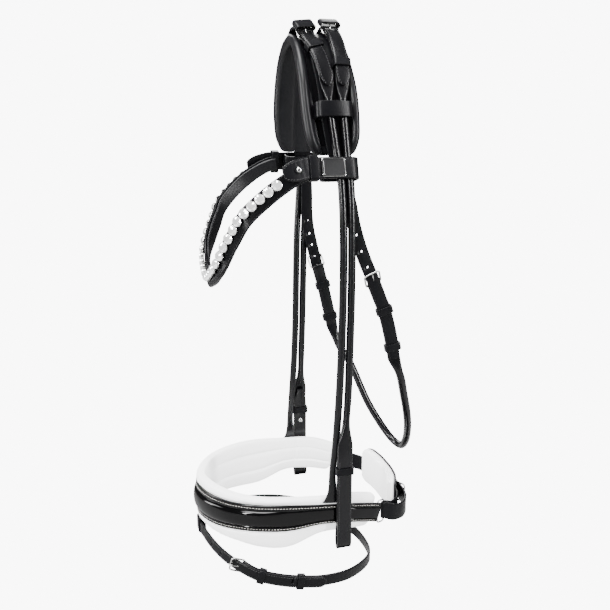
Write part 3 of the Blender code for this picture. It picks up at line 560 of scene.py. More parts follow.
# %% Crown pad
CROWN_HALF = [(0, 1, 26, 8, 9.6), (40, 2, 28, 7, 11.5), (70, 3.5, 29.5, 5.4, 13.2), (90, 4, 29.5, 5, 13.6),
              (112, 5, 28, 5, 13), (124, 5.5, 25, 4, 11), (130, 6, 21, 3, 5.2)]


def both_ways(half):
    """Rows for a >= 0, and the same rows mirrored to a < 0, in order."""
    return np.array([(-row[0], *row[1:]) for row in reversed(half[1:])] + list(half), float)


def cut_corners(grid, times):
    """Chaikin on the closed direction: each point becomes two, a quarter and three quarters of the way on."""
    for _ in range(times):
        onward = np.roll(grid, -1, axis=1)
        grid = np.stack([0.75 * grid + 0.25 * onward, 0.25 * grid + 0.75 * onward], 2)
        grid = grid.reshape(grid.shape[0], -1, *grid.shape[3:])
    return grid


def crown_grid():
    """Each row's outline in (y, n): two rolled rims, the channel floor and the lining, put on the head."""
    table = both_ways(CROWN_HALF)
    a = np.concatenate([[-131, -130.2, -128.5], np.linspace(-126, 126, 127), [128.5, 130.2, 131]])
    close = np.interp(np.abs(a), [126, 128.5, 130.2, 131], [1, 0.93, 0.8, 0.55])
    y, h, floor, rim = settle(np.stack([np.interp(a, table[:, 0], table[:, k]) for k in range(1, 5)], 1), 9).T
    h, rim, floor = h * (0.75 + 0.25 * close), rim * close, floor * close
    low = 0.25 * rim * (1 - close)
    roll_w = 10.5 * close
    outline = [(-h, 0.30 * rim), (3 - h, 0), (5.5 - h, -0.3), (-9.5, 0), (-8.2, 0.9), (-6.9, 0), (6.9, 0), (8.2, 0.9),
               (9.5, 0), (h - 5.5, -0.3), (h - 3, 0), (h, 0.30 * rim), (h + 0.4, 0.75 * rim), (h - 2.4, rim + 0.6),
               (h - 0.62 * roll_w, rim + 0.6), (h - roll_w, 0.7 * rim), (h - roll_w, floor), (0, floor),
               (roll_w - h, floor), (roll_w - h, 0.7 * rim), (0.62 * roll_w - h, rim + 0.6), (2.4 - h, rim + 0.6),
               (-h - 0.4, 0.75 * rim)]
    shape = np.array([[np.broadcast_to(u, a.shape), np.maximum(v, -0.3) + low] for u, v in outline])
    shape = cut_corners(shape.transpose(2, 0, 1), 2)
    return side(a[:, None], y[:, None] + shape[..., 0], shape[..., 1])


crown = skin("crown_padding", crown_grid(), SOFT)
fit(crown, "leather", "headpiece", "crown_pad")


def crown_channel():
    """A thin suede sheet in the channel: its width follows the crown, it lies 0.15 above the channel's floor."""
    table = both_ways(CROWN_HALF)
    a = np.linspace(-122, 122, 123)
    y, h, floor, _ = settle(np.stack([np.interp(a, table[:, 0], table[:, k]) for k in range(1, 5)], 1), 9).T
    rows = np.column_stack([side(a, y, floor + 0.15), 2 * h - 22, 0.5 + 0 * a, 0.24 + 0 * a])
    return lay(rows, FORE, curve=False)


fit(strap("channel_lining", crown_channel(), CHANNEL), "leather", "headpiece")
print("crown points:", len(crown.data.vertices))

# %% [markdown]
# ## Crown strap and throat billets
# One broad strap lies in the channel, comes out under the straps on each side and carries on down as the billet of
# the throatlatch. It is a single strap on the real bridle, so it is one piece here.

# %% Crown strap with its billets
THROAT_X = 72.3
THROAT = {
    1: [(20.2, -156), (24.5, -176), (30.5, -196), (37, -213), (44.1, -229), (49, -240), (56, -257), (61.2, -269.5),
        (68.2, -295), (73, -317), (74.4, -323)],
    -1: [(17.6, -160), (17.8, -180), (20, -200), (24, -218), (28.3, -235), (31.2, -246), (34.6, -258), (38, -270),
         (44.4, -297), (48.6, -316), (49.9, -322)],
}
CROWN_STRAP = [(0, 1, 9.6, *flat(26)), (40, 2, 9.4, *flat(26)), (65, 4, 8.6, *flat(24)), (100, 6, 8.6, *flat(24)),
               (112, 7, 8.0, *flat(22)), (124, 8.5, 6.1, *flat(21)), (130, 9.5, 5.2, *flat(20)),
               (140, 11.5, 3.9, *flat(18)), (150, 12.8, 3.4, *flat(16)), (160, 15, 3.2, *flat(13)),
               (CUT_A, 17, 3.0, *flat(13))]


def punch(piece, places, radius, deep=6.0):
    """Round holes through a strap: one Boolean with a set of 10-sided pegs, then the pegs are removed."""
    turn = np.linspace(0, 2 * math.pi, 10, endpoint=False)
    mesh = bpy.data.meshes.new("pegs")
    points, faces = [], []
    for k, (centre, out, along) in enumerate(places):
        across = np.cross(out, along)
        ring = radius * (np.cos(turn)[:, None] * along + np.sin(turn)[:, None] * across)
        points += [centre + ring - deep * out, centre + ring + deep * out]
        first = 20 * k
        faces += [[first + i, first + (i + 1) % 10, first + 10 + (i + 1) % 10, first + 10 + i] for i in range(10)]
        faces += [list(range(first + 9, first - 1, -1)), list(range(first + 10, first + 20))]
    mesh.from_pydata((np.vstack(points) * MM).tolist(), [], faces)
    pegs = shown("pegs", mesh, STRAP)
    cut = piece.modifiers.new("holes", "BOOLEAN")
    cut.operation, cut.object = "DIFFERENCE", pegs
    bpy.context.view_layer.update()
    done = bpy.data.meshes.new_from_object(piece.evaluated_get(bpy.context.evaluated_depsgraph_get()))
    piece.modifiers.clear()
    piece.data = done
    bpy.data.objects.remove(pegs)


def holes_at(laid, points):
    """The strap's own directions at the path point nearest to each given point."""
    rows = laid["rows"]
    nearest = [int(np.argmin(np.linalg.norm(rows[:, :3] - np.asarray(p, float), axis=1))) for p in points]
    return [(rows[i, :3], laid["face"][i], laid["along"][i]) for i in nearest]


def crown_strap_rows():
    """Far billet upwards, over the poll along the arch, and down to the tip of the near billet."""
    middle = down_side(both_ways(CROWN_STRAP), step=2.0)
    ends = {}
    for hand in (1, -1):
        line = [(hand * THROAT_X, y, z, *flat()) for y, z in THROAT[hand][:-2]]
        line += [(hand * THROAT_X, *THROAT[hand][-2], *flat(12)), (hand * THROAT_X, *THROAT[hand][-1], *flat(6.5))]
        ends[hand] = np.array(line)
    return np.vstack([ends[-1][::-1], middle[::4], ends[1]])


long_strap = lay(crown_strap_rows(), FORE)
billets = strap("crown_strap_and_billets", long_strap, STRAP)
HOLES = [(72.3, 40.2, -220.5), (72.3, 33.6, -204.5), (72.3, 27.4, -187), (72.3, 60, -266),
         (-72.3, 28, -233.6), (-72.3, 24.2, -219), (-72.3, 20.9, -205), (-72.3, 18.2, -190), (-72.3, 37, -266)]
punch(billets, holes_at(long_strap, HOLES), 1.35)
JOINT_Z = (-0.137, -0.150)
fit(billets, "leather", ("headpiece", "throatlatch", (0, 0.02, JOINT_Z[0]), (0, 0.02, JOINT_Z[1])),
    "crown_strap", "throat_billet_near", "throat_billet_far")
print("crown strap steps:", len(long_strap["rows"]))

# %% [markdown]
# ## Buckles and keepers
# A strap buckle is a bent wire frame: a heel bar inside the fold of the short strap, two sides that slope up, and a
# front bar that the long strap passes under. A prong hooks round the heel bar. Each buckle has its own small frame
# of directions: s points at the incoming strap, n out from the horse, w across.

# %% Stations, wires and bands
BAR_N, FRAME_S, FRAME_N = -2.3, 13.5, 4.4
FRAME_WIRE, PRONG_WIRE, PRONG_AIR = 0.95, 0.6, 0.2
FOLD_T, FOLD_R = 4.0, 1.9


class Station:
    """A place with its own directions: s along the strap, n out from the horse, w across."""

    def __init__(self, origin, s, n):
        self.o, self.s = np.asarray(origin, float), unit(np.asarray(s, float))
        n = np.asarray(n, float)
        self.n = unit(n - np.dot(n, self.s) * self.s)
        self.w = np.cross(self.n, self.s)

    def at(self, s, n, w):
        s, n, w = (np.asarray(v, float)[..., None] for v in (s, n, w))
        return self.o + s * self.s + n * self.n + w * self.w


def wire(name, points, radius, closed=False, hint=UP, count=12):
    """A round bar: centre + radius (cos first + sin second), with first kept near the hint."""
    points = np.asarray(points, float)
    if closed:
        along = unit(np.roll(points, -1, 0) - np.roll(points, 1, 0))
    else:
        along = unit(np.gradient(points, axis=0))
    hint = np.broadcast_to(np.asarray(hint, float), points.shape)
    first = unit(hint - (hint * along).sum(1, keepdims=True) * along)
    second = np.cross(along, first)
    turn = np.linspace(0, 2 * math.pi, count, endpoint=False)[None, :, None]
    radius = np.broadcast_to(np.asarray(radius, float), len(points))[:, None, None]
    grid = points[:, None] + radius * (np.cos(turn) * first[:, None] + np.sin(turn) * second[:, None])
    return skin(name, grid, STEEL, closed=closed)


def oblong(long, wide, r, count=6):
    """A closed path round a long by wide rectangle with corner radius r."""
    turn = np.radians(np.linspace(0, 90, count))
    turn = np.concatenate([turn, turn + math.pi / 2, turn + math.pi, turn + 1.5 * math.pi])
    sx, sy = np.repeat([1, -1, -1, 1], count), np.repeat([1, 1, -1, -1], count)
    path = np.stack([sx * (long / 2 - r) + r * np.cos(turn), sy * (wide / 2 - r) + r * np.sin(turn)], 1)
    full = np.vstack([path, path[:1]])
    return evenly(np.column_stack([full, np.zeros(len(full))]), 1.0)[:-1, :2]


def buckle(name, st, strap_w, body):
    """The wire frame and its prong, standing for the plain ones of the same name."""
    half = strap_w / 2 + 1.6
    s, w = oblong(FRAME_S, 2 * half, 2.6).T
    s = s + FRAME_S / 2
    rise = (FRAME_N - BAR_N) / FRAME_S
    frame_piece = wire(name + "_buckle", st.at(s, BAR_N + s * rise, w), FRAME_WIRE, closed=True,
                       hint=st.n + 0.01 * st.s)
    fit(frame_piece, "steel", body, name + "_frame")
    hook = FRAME_WIRE + PRONG_AIR + PRONG_WIRE
    turn = np.radians(np.linspace(-125, -262, 10))
    tip = [(3.0, BAR_N + hook + 1.3), (8, FRAME_N + 0.2), (FRAME_S - 2, FRAME_N + hook - 0.1),
           (FRAME_S, FRAME_N + hook + 0.05), (FRAME_S + 1.8, FRAME_N + hook + 0.4)]
    path = np.vstack([np.stack([hook * np.cos(turn), BAR_N + hook * np.sin(turn)], 1), tip])
    path = through(np.column_stack([path, 0 * path[:, 0]]), 0.8)[:, :2]
    thick = np.interp(path[:, 0], [-2, 3, FRAME_S, FRAME_S + 1.8], [0.62, 0.72, PRONG_WIRE, 0.45])
    prong = wire(name + "_tongue", st.at(path[:, 0], path[:, 1], 0 * path[:, 0]), thick, hint=st.w)
    fit(prong, "steel", name + "_prong_body", name + "_prong")


def band(name, st, s, low_n, high_n, inner_w, body, node, long=8.0, wall=1.5, dome=0.0, corner=1.6):
    """A keeper: a flat strap `long` wide carried round a rounded oblong in the (w, n) plane; dome lifts its top."""
    path = oblong(inner_w + wall, high_n - low_n + wall, corner)
    w, n = path[:, 0], path[:, 1] + (low_n + high_n) / 2
    n = n + dome * np.clip(1 - (2 * w / inner_w) ** 2, 0, 1) * (path[:, 1] > 0)
    line = st.at(s + 0 * w, n, w)
    along = unit(np.roll(line, -1, 0) - np.roll(line, 1, 0))
    out = np.cross(along, np.broadcast_to(st.s, along.shape))
    xy = rounded(long + 0 * w, wall + 0 * w, min(0.55, wall / 2) + 0 * w)
    grid = line[:, None] + xy[..., :1] * st.s + xy[..., 1:] * out[:, None]
    piece = skin(name, grid, STRAP, edge=np.abs(xy[..., 0]) * 2 / long, closed=True)
    return fit(piece, "leather", body, *([node] if node else []))


def bar_fold(st, strap_w):
    """The two thick rows of a strap where it folds round a buckle's heel bar."""
    return [(*st.at(s, BAR_N, 0), strap_w, FOLD_T, FOLD_R) for s in (2.4, -2.2)]


def turned(name, st, profile, look, slot, body, node, count=20):
    """A small round piece on the station's n axis, from a profile of (n, radius) read as a smooth curve."""
    profile = np.asarray(profile, float)
    turn = np.linspace(0, 2 * math.pi, count, endpoint=False)
    n, r = profile[:, :1], profile[:, 1:]
    grid = st.at(r * np.cos(turn), n + 0 * turn, r * np.sin(turn))
    return fit(skin(name, grid, look), slot, body, node)


# %% [markdown]
# ## The two straps over the poll
# One strap of each pair comes up from the far side, crosses the poll and buckles on the near side. The front pair
# carries the noseband and the rear pair the cheeks. Below the buckle each strap rounds into a roll. The near straps
# are made whole, from the buckle to the noseband or the bit.

# %% Strap lines
FRONT_LINE = [(0, -14), (20, -11), (40, -4), (58, 0), (80, 1), (105, 3), (130, 6.5), (149, 9), (170, 10.5)]
REAR_LINE = [(0, 17), (20, 17), (40, 17.5), (58, 17), (72, 15.5), (90, 15), (110, 16), (130, 17.5), (149, 18.6),
             (170, 19.4)]
UNDER_N, OVER_N = 14.3, 17.4
LIFT = [(0, UNDER_N), (100, UNDER_N), (112, 13.3), (124, 11.6), (130, 10.7), (138, 9.7), (149, 9.3), (160, 9.1),
        (200, 8)]
FAR_LEAN = -6
BILLET_W = 16.0
CAP = (BILLET_W, 2.6, 1.0)


def line_y(line, a):
    """How far back a strap's line is at distance |a| down the arch."""
    return float(np.interp(abs(a), *np.array(line, float).T))


def lift(a):
    """How far out the under strap lies at distance |a| down the arch."""
    return float(np.interp(abs(a), *np.array(LIFT, float).T))


BIT_LOOP = [(90.2, -505), (91.3, -518), (90.6, -526), (87.4, -530), (84.2, -526), (83.4, -518), (84.6, -508),
            (86.3, -498)]


def cheek_below(hand):
    """The cheek from the joint down: rolled, flat at the billet, round the bit's place and up inside."""
    lean = 0 if hand > 0 else FAR_LEAN
    rows = [(x, y + lean * k, z, *roll()) for x, y, z, k in (
        (78.5, 20, -165, 0.25), (78.5, 20.8, -205, 0.8), (78.5, 21, -255, 1), (79, 20, -310, 1),
        (80.5, 18.5, -355, 0.9), (84, 15.5, -386, 0.4))]
    rows += [(88.0, 13.6 + lean * 0.1, -408, BILLET_W, 3.2, 1.2)]
    rows += [(x, 13, z, *CAP) for x, z in ((89.6, -424), (89.6, -450), (89.6, -480), *BIT_LOOP, (86.4, -480),
                                           (86.4, -450), (86.3, -436))]
    rows += [(85.3, 13, -422, 14, 2.4, 1.0), (83.6, 13, -408, 8, 2.2, 1.0)]
    return [(hand * row[0], *row[1:]) for row in rows]


def noseband_below(hand):
    """The noseband's cheek strap from the joint down to where it flares on to the noseband."""
    lean = 0 if hand > 0 else FAR_LEAN
    rows = [(78.5, 11, -165, 0.25, roll()), (78.5, 12, -205, 0.8, roll()), (78.5, 12, -255, 1, roll()),
            (78.5, 11, -310, 1, roll()), (78.5, 9, -363, 1, roll()), (78.8, 6, -410, 1, roll()),
            (79.4, 2.5, -442, 0.8, roll(7.4)), (81.6, 1.8, -458, 0.6, (9, 5.0, 2.4)),
            (82.6, 1.2, -466, 0.5, (11, 3.4, 1.6)), (82.9, 0.6, -472, 0.4, (15, 2.6, 1.2)),
            (82.9, 0, -477, 0.4, (20, 2.2, 1.0))]
    return [(hand * x, y + lean * k, z, *section) for x, y, z, k, section in rows]


def near_strap(line, bar, below):
    """From the fold round the heel bar, flat, then rolled past the crown, then on down the cheek."""
    top = [(bar + ahead, line_y(line, bar), UNDER_N - 0.7, STRAP_W, FOLD_T, FOLD_R) for ahead in (-2.4, 2.2)]
    top += [(bar + 6, line_y(line, bar + 6), UNDER_N, *flat())]
    top += [(a, line_y(line, a), UNDER_N, *flat()) for a in (bar + 16, 40, 55, 68)]
    top += [(a, line_y(line, a), lift(a), *roll()) for a in (*range(80, 170, 8), CUT_A)]
    return np.vstack([down_side(top)[::4], np.array(below(1))])


def far_strap(line, bar, below):
    """From the foot of the far strap up the far side, over the poll, through the near buckle to its tip."""
    up = [(-a, line_y(line, a), lift(a), *roll()) for a in (CUT_A, *range(160, 66, -8), 66)]
    up += [(-a, line_y(line, a), UNDER_N, *flat()) for a in (50, 40)]
    over = [(bar - 34, 14.6), (bar - 22, 15.6), (bar - 12, 17.2)]
    over += [(a, OVER_N) for a in (bar, bar + 10, bar + 20, 60)]
    over = [(a, line_y(line, a), n, *flat()) for a, n in over]
    over += [(a, line_y(line, a), OVER_N, *flat(w)) for a, w in ((63.5, 12.8), (66, 9.5), (67.5, 5))]
    top = down_side(up + over, window=5)
    return np.vstack([np.array(below(-1))[::-1], top[::3], top[-1:]])


def head_station(a, y, n, toward=3):
    """A station on the near side whose s points up the arch."""
    out = side(a, 0, 1) - side(a, 0, 0)
    return Station(side(a, y(a), n), side(a - toward, y(a - toward), n) - side(a + toward, y(a + toward), n), out)


POLL = {"noseband": (FRONT_LINE, 20, noseband_below, 10.5, "noseband"),
        "cheek": (REAR_LINE, 12, cheek_below, 35, "cheek_near_strap")}
laid_straps = {}
for kind, (line, bar, below, keeper_on, near_body) in POLL.items():
    near_laid = lay(near_strap(line, bar, below), FORE)
    far_laid = lay(far_strap(line, bar, below), FORE)
    laid_straps[kind] = (near_laid, far_laid)
    near_piece = strap(kind + "_strap_near", near_laid, ROLLED)
    far_piece = strap(kind + "_strap_far", far_laid, ROLLED)
    span = ((0, 0.01, JOINT_Z[0]), (0, 0.01, JOINT_Z[1]))
    far_body = "noseband" if kind == "noseband" else "cheek_far_strap"
    low = "noseband_cheek_" if kind == "noseband" else "cheek_"
    fit(near_piece, "leather", ("headpiece", near_body, *span), kind + "_near_top", low + "near")
    fit(far_piece, "leather", ("headpiece", far_body, *span), kind + "_far_top", low + "far")
    st = head_station(bar, lambda a: line_y(line, a), OVER_N - LEATHER / 2)
    buckle(kind + "_poll", st, STRAP_W, "headpiece")
    keeper_st = head_station(bar + keeper_on, lambda a: line_y(line, a), 0)
    band(kind + "_strap_keeper", keeper_st, 0, 12.3, 19.6, STRAP_W + 1.2, "headpiece", kind + "_poll_keeper",
         wall=1.2)
    band(kind + "_buckle_cover", st, 11.5, 2.8, 7.0, 19.2, "headpiece", None, long=12, wall=1.2, corner=2.4)
print("poll straps:", len(laid_straps) * 2)

# %% Crown keepers
for hand_name, hand in HANDS:
    a = hand * 90
    out = side(a, 0, 1) - side(a, 0, 0)
    st = Station(side(a, 5.3, 0), side(a + 2, 5.3, 0) - side(a - 2, 5.3, 0), out)
    band("crown_band_" + hand_name, st, 0, 6.8, 18.6, 34.5, "headpiece", "crown_keeper_" + hand_name, long=15,
         dome=2.6, corner=4.5)
print("crown keepers: 2")

# %% [markdown]
# ## The browband
# The browband is a strap of leather over a padded lining, bent into a V across the forehead. Each end folds back on
# itself round the hanging straps, where it carries a plate, a keeper and a stud. Its line is drawn for the near half
# and mirrored. The strap leans with the cheek at its ends and stands upright across the forehead.

# %% Browband leather and lining
LOOP_A, BROW_SHIFT = 147, 3.4
BROW = [(76.8, -13, -121), (77.6, -30, -123.2), (77, -54, -134.5), (74, -70, -147), (67, -87, -164),
        (60, -95, -180), (53, -103, -197), (46, -108, -213), (35, -110.5, -223), (18, -111.5, -231),
        (0, -112, -236)]
HEAD_MIDDLE = np.array([0, -20, -150.0])


def mirrored(points):
    """The near half from its outer end, then the same half on the far side back to its outer end."""
    return list(points) + [(-p[0], *p[1:]) for p in reversed(points[:-1])]


def outwards(laid_face, points, middle):
    """1 or -1 for every point: which way along the face direction leads away from the middle."""
    return np.sign((laid_face * (points - middle)).sum(1, keepdims=True))


def brow_frame():
    """The crystals' line, the width direction, the way out, and how near each point is to an end, from 0 to 1."""
    line = through(mirrored(BROW), 2.0)
    rise = unit(side(LOOP_A - 3, 0, 0) - side(LOOP_A + 3, 0, 0))
    near_end = np.clip((line[:, 1:2] + 60) / 30, 0, 1)
    same_side = np.sign(line[:, :1] * (1, 0, 0) + (0, 1, 1))
    across = unit(np.array(UP) * (1 - near_end) + near_end * rise * same_side)
    _, width, face = directions(line, settle(across, 21))
    return line, width, face * outwards(face, line, HEAD_MIDDLE), near_end


def part_of(laid, keep):
    """The steps of a laid strap for which keep is true."""
    return {label: values[keep] for label, values in laid.items()}


brow, brow_width, brow_out, near_end = brow_frame()
brow_middle = settle(brow - np.clip((-24 - brow[:, 1:2]) / 30, 0, 1) * BROW_SHIFT * brow_width, 17)
brow_wide = settle(17.6 - 0.9 * near_end, 17)
ones = np.ones_like(brow_wide)
brow_laid = lay(np.hstack([brow_middle, brow_wide, LEATHER * ones, ones]), brow_width, curve=False)
fit(strap("browband_strap", brow_laid, STRAP), "leather", "browband", "browband_leather")
puff = 3.4 + 1.4 * near_end + 0.25 * np.sin(brow[:, :1] / 3.1)
pad_rows = np.hstack([brow_middle - (LEATHER / 2 + 0.1 + puff / 2) * brow_out, brow_wide - 2.4, puff, puff / 2.02])
lining = strap("browband_lining", lay(pad_rows[3:-3], brow_width[3:-3], curve=False), SOFT)
fit(lining, "leather", "browband")
brow_face = face_towards(brow_laid, 100, brow_out[100])
fit(seams("browband_stitching", brow_laid, inset=1.5, face_side=brow_face), "leather", "browband")
print("browband steps:", len(brow))

# %% [markdown]
# ## Crystals in silver cups
# One crystal is a brilliant cut made simple: a table of eight corners, eight corners lower down between them, and a
# girdle of sixteen. It is described once, in numbers, and set at every place along the browband by one sum: the
# place plus each corner times the three directions there. The cups are a scalloped profile turned round.

# %% Crystals
PITCH = 10.4


def places_along(line, *carried):
    """Places every PITCH along the line, one of them in the middle of the browband, with what they carry."""
    table = np.hstack([line, *carried])
    at = lengths(line)
    reach = int(at[-1] / 2 / PITCH)
    where = at[-1] / 2 + PITCH * np.arange(-reach, reach + 1)
    return np.stack([np.interp(where, at, column) for column in table.T], 1)


def brilliant():
    """Corners (across, along, out) and faces of one crystal with its girdle at radius 4.85."""
    eighth, sixteenth = np.radians(np.arange(8) * 45), np.radians(np.arange(16) * 22.5)
    rings = [(eighth + math.pi / 8, 2.6, 3.6), (eighth, 3.95, 2.75), (sixteenth, 4.85, 1.2), (sixteenth, 3.4, 0.0)]
    points = np.vstack([np.stack([r * np.cos(t), r * np.sin(t), h + 0 * t], 1) for t, r, h in rings])
    k = np.arange(8)
    after, girdle, base = (k + 1) % 8, 16, 32
    faces = [list(range(8)), list(range(47, 31, -1))]
    faces += np.stack([(k - 1) % 8, 8 + k, k], 1).tolist()
    faces += np.stack([k, 8 + k, girdle + 2 * k + 1, 8 + after], 1).tolist()
    faces += np.stack([8 + k, girdle + (2 * k - 1) % 16, girdle + 2 * k], 1).tolist()
    faces += np.stack([8 + k, girdle + 2 * k, girdle + 2 * k + 1], 1).tolist()
    j = np.arange(16)
    faces += np.stack([girdle + j, base + j, base + (j + 1) % 16, girdle + (j + 1) % 16], 1).tolist()
    return points, faces


def cup(count=32):
    """A scalloped cup: a profile of (radius, height) turned round, its rim rising and falling eight times."""
    turn = np.linspace(0, 2 * math.pi, count, endpoint=False)
    profile = np.array([(3.6, -0.6), (5.0, -0.3), (5.35, 0.7), (5.25, 1.9), (4.9, 2.05), (4.75, 1.0)])
    wave = np.array([0, 0, 0, 1, 1, 0])
    rise = 0.42 * np.cos(8 * turn)
    r = profile[:, :1] - 0.12 * wave[:, None] * (1 + np.cos(8 * turn))
    h = profile[:, 1:] + wave[:, None] * rise
    points = np.stack([r * np.cos(turn), r * np.sin(turn), h], -1).reshape(-1, 3)
    return points, [list(range(count))] + quads(len(profile), count).tolist()


def set_out(name, shape, places, look, angle):
    """A copy of the shape at each place (centre, across, along, out), all in one mesh."""
    points, faces = shape
    centre, across, along, out = (places[:, None, k:k + 3] for k in (0, 3, 6, 9))
    grid = centre + points[:, :1] * unit(across) + points[:, 1:2] * unit(along) + points[:, 2:] * unit(out)
    copies = [[corner + len(points) * k for corner in face] for k in range(len(places)) for face in faces]
    mesh = bpy.data.meshes.new(name)
    mesh.from_pydata((grid.reshape(-1, 3) * MM).tolist(), [], copies)
    return shown(name, mesh, look, angle)


on_front = brow[:, 1] < -53
brow_along = unit(np.gradient(brow, axis=0))
base = brow + brow_out * (LEATHER / 2 + 1.0)
settings = places_along(base[on_front], brow_width[on_front], brow_along[on_front], brow_out[on_front])
stones = settings.copy()
stones[:, :3] += unit(settings[:, 9:12]) * 1.2
fit(set_out("crystals", brilliant(), stones, CRYSTAL_PAINTED_GLOW, 3), "crystal", "browband", "crystal_chain")
fit(set_out("crystal_cups", cup(), settings, STEEL, 40), "steel", "browband")
print("crystals:", len(settings))

# %% [markdown]
# ## The ends of the browband
# Each end wraps round the hanging straps and is held by a keeper and a stud. A plain silver plate with a dark
# enamel panel sits on the outside. The plate is a profile of (inset, height) carried round a rounded oblong.

# %% Browband ends
FOLD = [(-51, 19.6, 7), (-49, 19.6, 14), (-40, 19.4, 20), (-26, 18, 21), (-13, 16.4, 21), (0, 16.4, 21),
        (13, 16.4, 21), (22, 15.8, 21), (26.2, 12.5, 21), (27, 7.5, 21), (26, 2.6, 21), (21, 0.2, 21), (8, 0.2, 21),
        (-6, 0.4, 21), (-9.6, 3.6, 21), (-9.8, 9, 21)]
PLATE = [(0.5, 0.0), (0.0, 0.35), (0.0, 1.1), (0.2, 1.3), (0.55, 1.3), (0.7, 1.1), (0.7, 0.8)]
PANEL = [(0.72, 0.7), (0.72, 1.15), (1.1, 1.32), (1.6, 1.32), (1.8, 1.2), (2.2, 1.2)]
STUD = [(0.0, 1.2), (0.15, 2.1), (0.6, 2.75), (1.5, 2.9), (2.3, 2.5), (2.9, 1.5), (3.1, 0.4)]


def slab(name, st, long, wide, r, profile, look, slot, body, *nodes):
    """A low plate: the oblong drawn in by each inset at each height, capped at top and bottom."""
    rows = []
    for inset, n in profile:
        path = oblong(long, wide, r)
        s, w = path.T * np.array([[(long - 2 * inset) / long], [(wide - 2 * inset) / wide]])
        rows.append(st.at(s, n + 0 * s, w))
    return fit(skin(name, np.array(rows), look), slot, body, *nodes)


for hand_name, hand in HANDS:
    a = hand * LOOP_A
    down = unit(side(a + 3 * hand, 0, 0) - side(a - 3 * hand, 0, 0))
    out = side(a, 0, 1) - side(a, 0, 0)
    fold = through([(y, n, w) for y, n, w in FOLD], 2.0)
    crinkle = 0.25 * np.sin(fold[:, 0] * 1.3) * np.exp(-((fold[:, 0] + 30) / 6) ** 2)
    drop = np.interp(fold[:, 0], (-51, -26), (7, 0))[:, None]
    rows = np.column_stack([side(a + 0 * fold[:, 0], fold[:, 0], fold[:, 1] + crinkle) + drop * down, fold[:, 2],
                            2.2 + 0 * crinkle, 0.8 + 0 * crinkle])
    laid = lay(rows, down, curve=False)
    fit(strap("browband_fold_" + hand_name, laid, STRAP), "leather", "browband", "browband_loop_" + hand_name)
    front = part_of(laid, np.arange(len(laid["rows"])) < 40)
    outer = face_towards(front, 20, out)
    fit(seams("browband_fold_stitching_" + hand_name, front, inset=1.7, face_side=outer), "leather", "browband")
    st = Station(side(a, -20, 0), (0, -1, 0), out)
    band("browband_band_" + hand_name, st, 0, 11.2, 19.4, 22.6, "browband", "browband_keeper_" + hand_name, long=8.5,
         wall=1.3)
    st = Station(side(a, 0, 17.8), (0, -1, 0), out)
    slab("browband_badge_" + hand_name, st, 24, 18, 1.6, PLATE, STEEL, "steel", "browband",
         "browband_plate_" + hand_name)
    slab("browband_panel_" + hand_name, st, 24, 18, 1.6, PANEL, ENAMEL, "steel", "browband")
    st = Station(side(a, -36, 20.8) + 2.8 * down, (0, -1, 0), out)
    turned("browband_button_" + hand_name, st, STUD, STEEL, "steel", "browband", "browband_stud_" + hand_name)
print("browband ends: 2")

# %% [markdown]
# ## Cheek billets
# Each cheek ends in a flat billet that folds up round the bit's place and hooks on a stud inside. A loose keeper
# holds the fold.

# %% Cheek keepers, studs and stitching
for hand_name, hand in HANDS:
    body = f"cheek_{hand_name}_strap"
    st = Station((hand * 86.4, 13, -438), (0, 0, 1), (hand, 0, 0))
    band("cheek_band_" + hand_name, st, 0, -1.7, 5.0, BILLET_W + 0.8, f"cheek_{hand_name}_runner",
         f"cheek_{hand_name}_keeper", wall=1.4)
    st = Station((hand * 86.4, 13, -452), (0, 0, 1), (-hand, 0, 0))
    button = [(1.2 + 0.8 * n, r) for n, r in STUD]
    turned("cheek_button_" + hand_name, st, button, STEEL, "steel", body, f"cheek_{hand_name}_stud")
    laid = laid_straps["cheek"][0 if hand > 0 else 1]
    rows = laid["rows"]
    billet = part_of(laid, (rows[:, 2] < -424) & (rows[:, 2] > -512) & (np.abs(rows[:, 0]) > 88.2))
    outer = face_towards(billet, 3, (hand, 0, 0))
    fit(seams("billet_stitching_" + hand_name, billet, inset=1.7, face_side=outer, start=2, stop=2), "leather", body)
for kind, laid in laid_straps.items():
    rows = laid[1]["rows"]
    flat_part = part_of(laid[1], (rows[:, 2] > -60) & (rows[:, 5] < 1.5) & (rows[:, 0] > -30))
    above = face_towards(flat_part, 10, UP)
    fit(seams(kind + "_strap_stitching", flat_part, inset=1.6, face_side=above), "leather", "headpiece")
print("cheek keepers: 2")

# %% [markdown]
# ## The noseband
# The noseband is a patent strip with a raised roll along its middle, sewn to a thick white pad that shows as a
# soft roll above and below it. The strip's profile is one formula: flat flanges, a narrow groove on each side and a
# half-round middle that is fullest over the nose. The pad is a rounded oblong whose outer side swells where the strip
# no longer holds it in, with two quilted channels and an upright seam on the side next to the horse.

# %% Noseband strip
STRIP = [(69.6, 62, -506, 22), (74, 50, -501.5, 22), (81, 22, -493.5, 22), (82.8, -11, -489.3, 23),
         (81, -46, -489, 30), (73.5, -77, -488.5, 31), (58, -102.5, -489.5, 32), (40, -118.5, -491, 34),
         (20, -129, -492, 35), (0, -133.5, -492, 36)]
PAD_Z = [(-503, 34), (-500, 38), (-494, 42), (-492.5, 43), (-496.5, 57), (-495.5, 57), (-493, 54), (-492, 54),
         (-491.2, 53.4), (-491.2, 53.4)]
STRIP_T, PAD_T, GAP = 3.2, 9.0, 0.3
NOSE_MIDDLE = np.array([0, -30, -490.0])


def nose_frame():
    """The strip's rows (x, y, z, height, pad's middle, pad's height), its width direction and the way out."""
    rows = [(*p, z, h) for p, (z, h) in zip(STRIP, PAD_Z)]
    rows = through(mirrored(rows), 2.0)
    _, width, face = directions(rows[:, :3], UP)
    return rows, width, face * outwards(face, rows[:, :3], NOSE_MIDDLE)


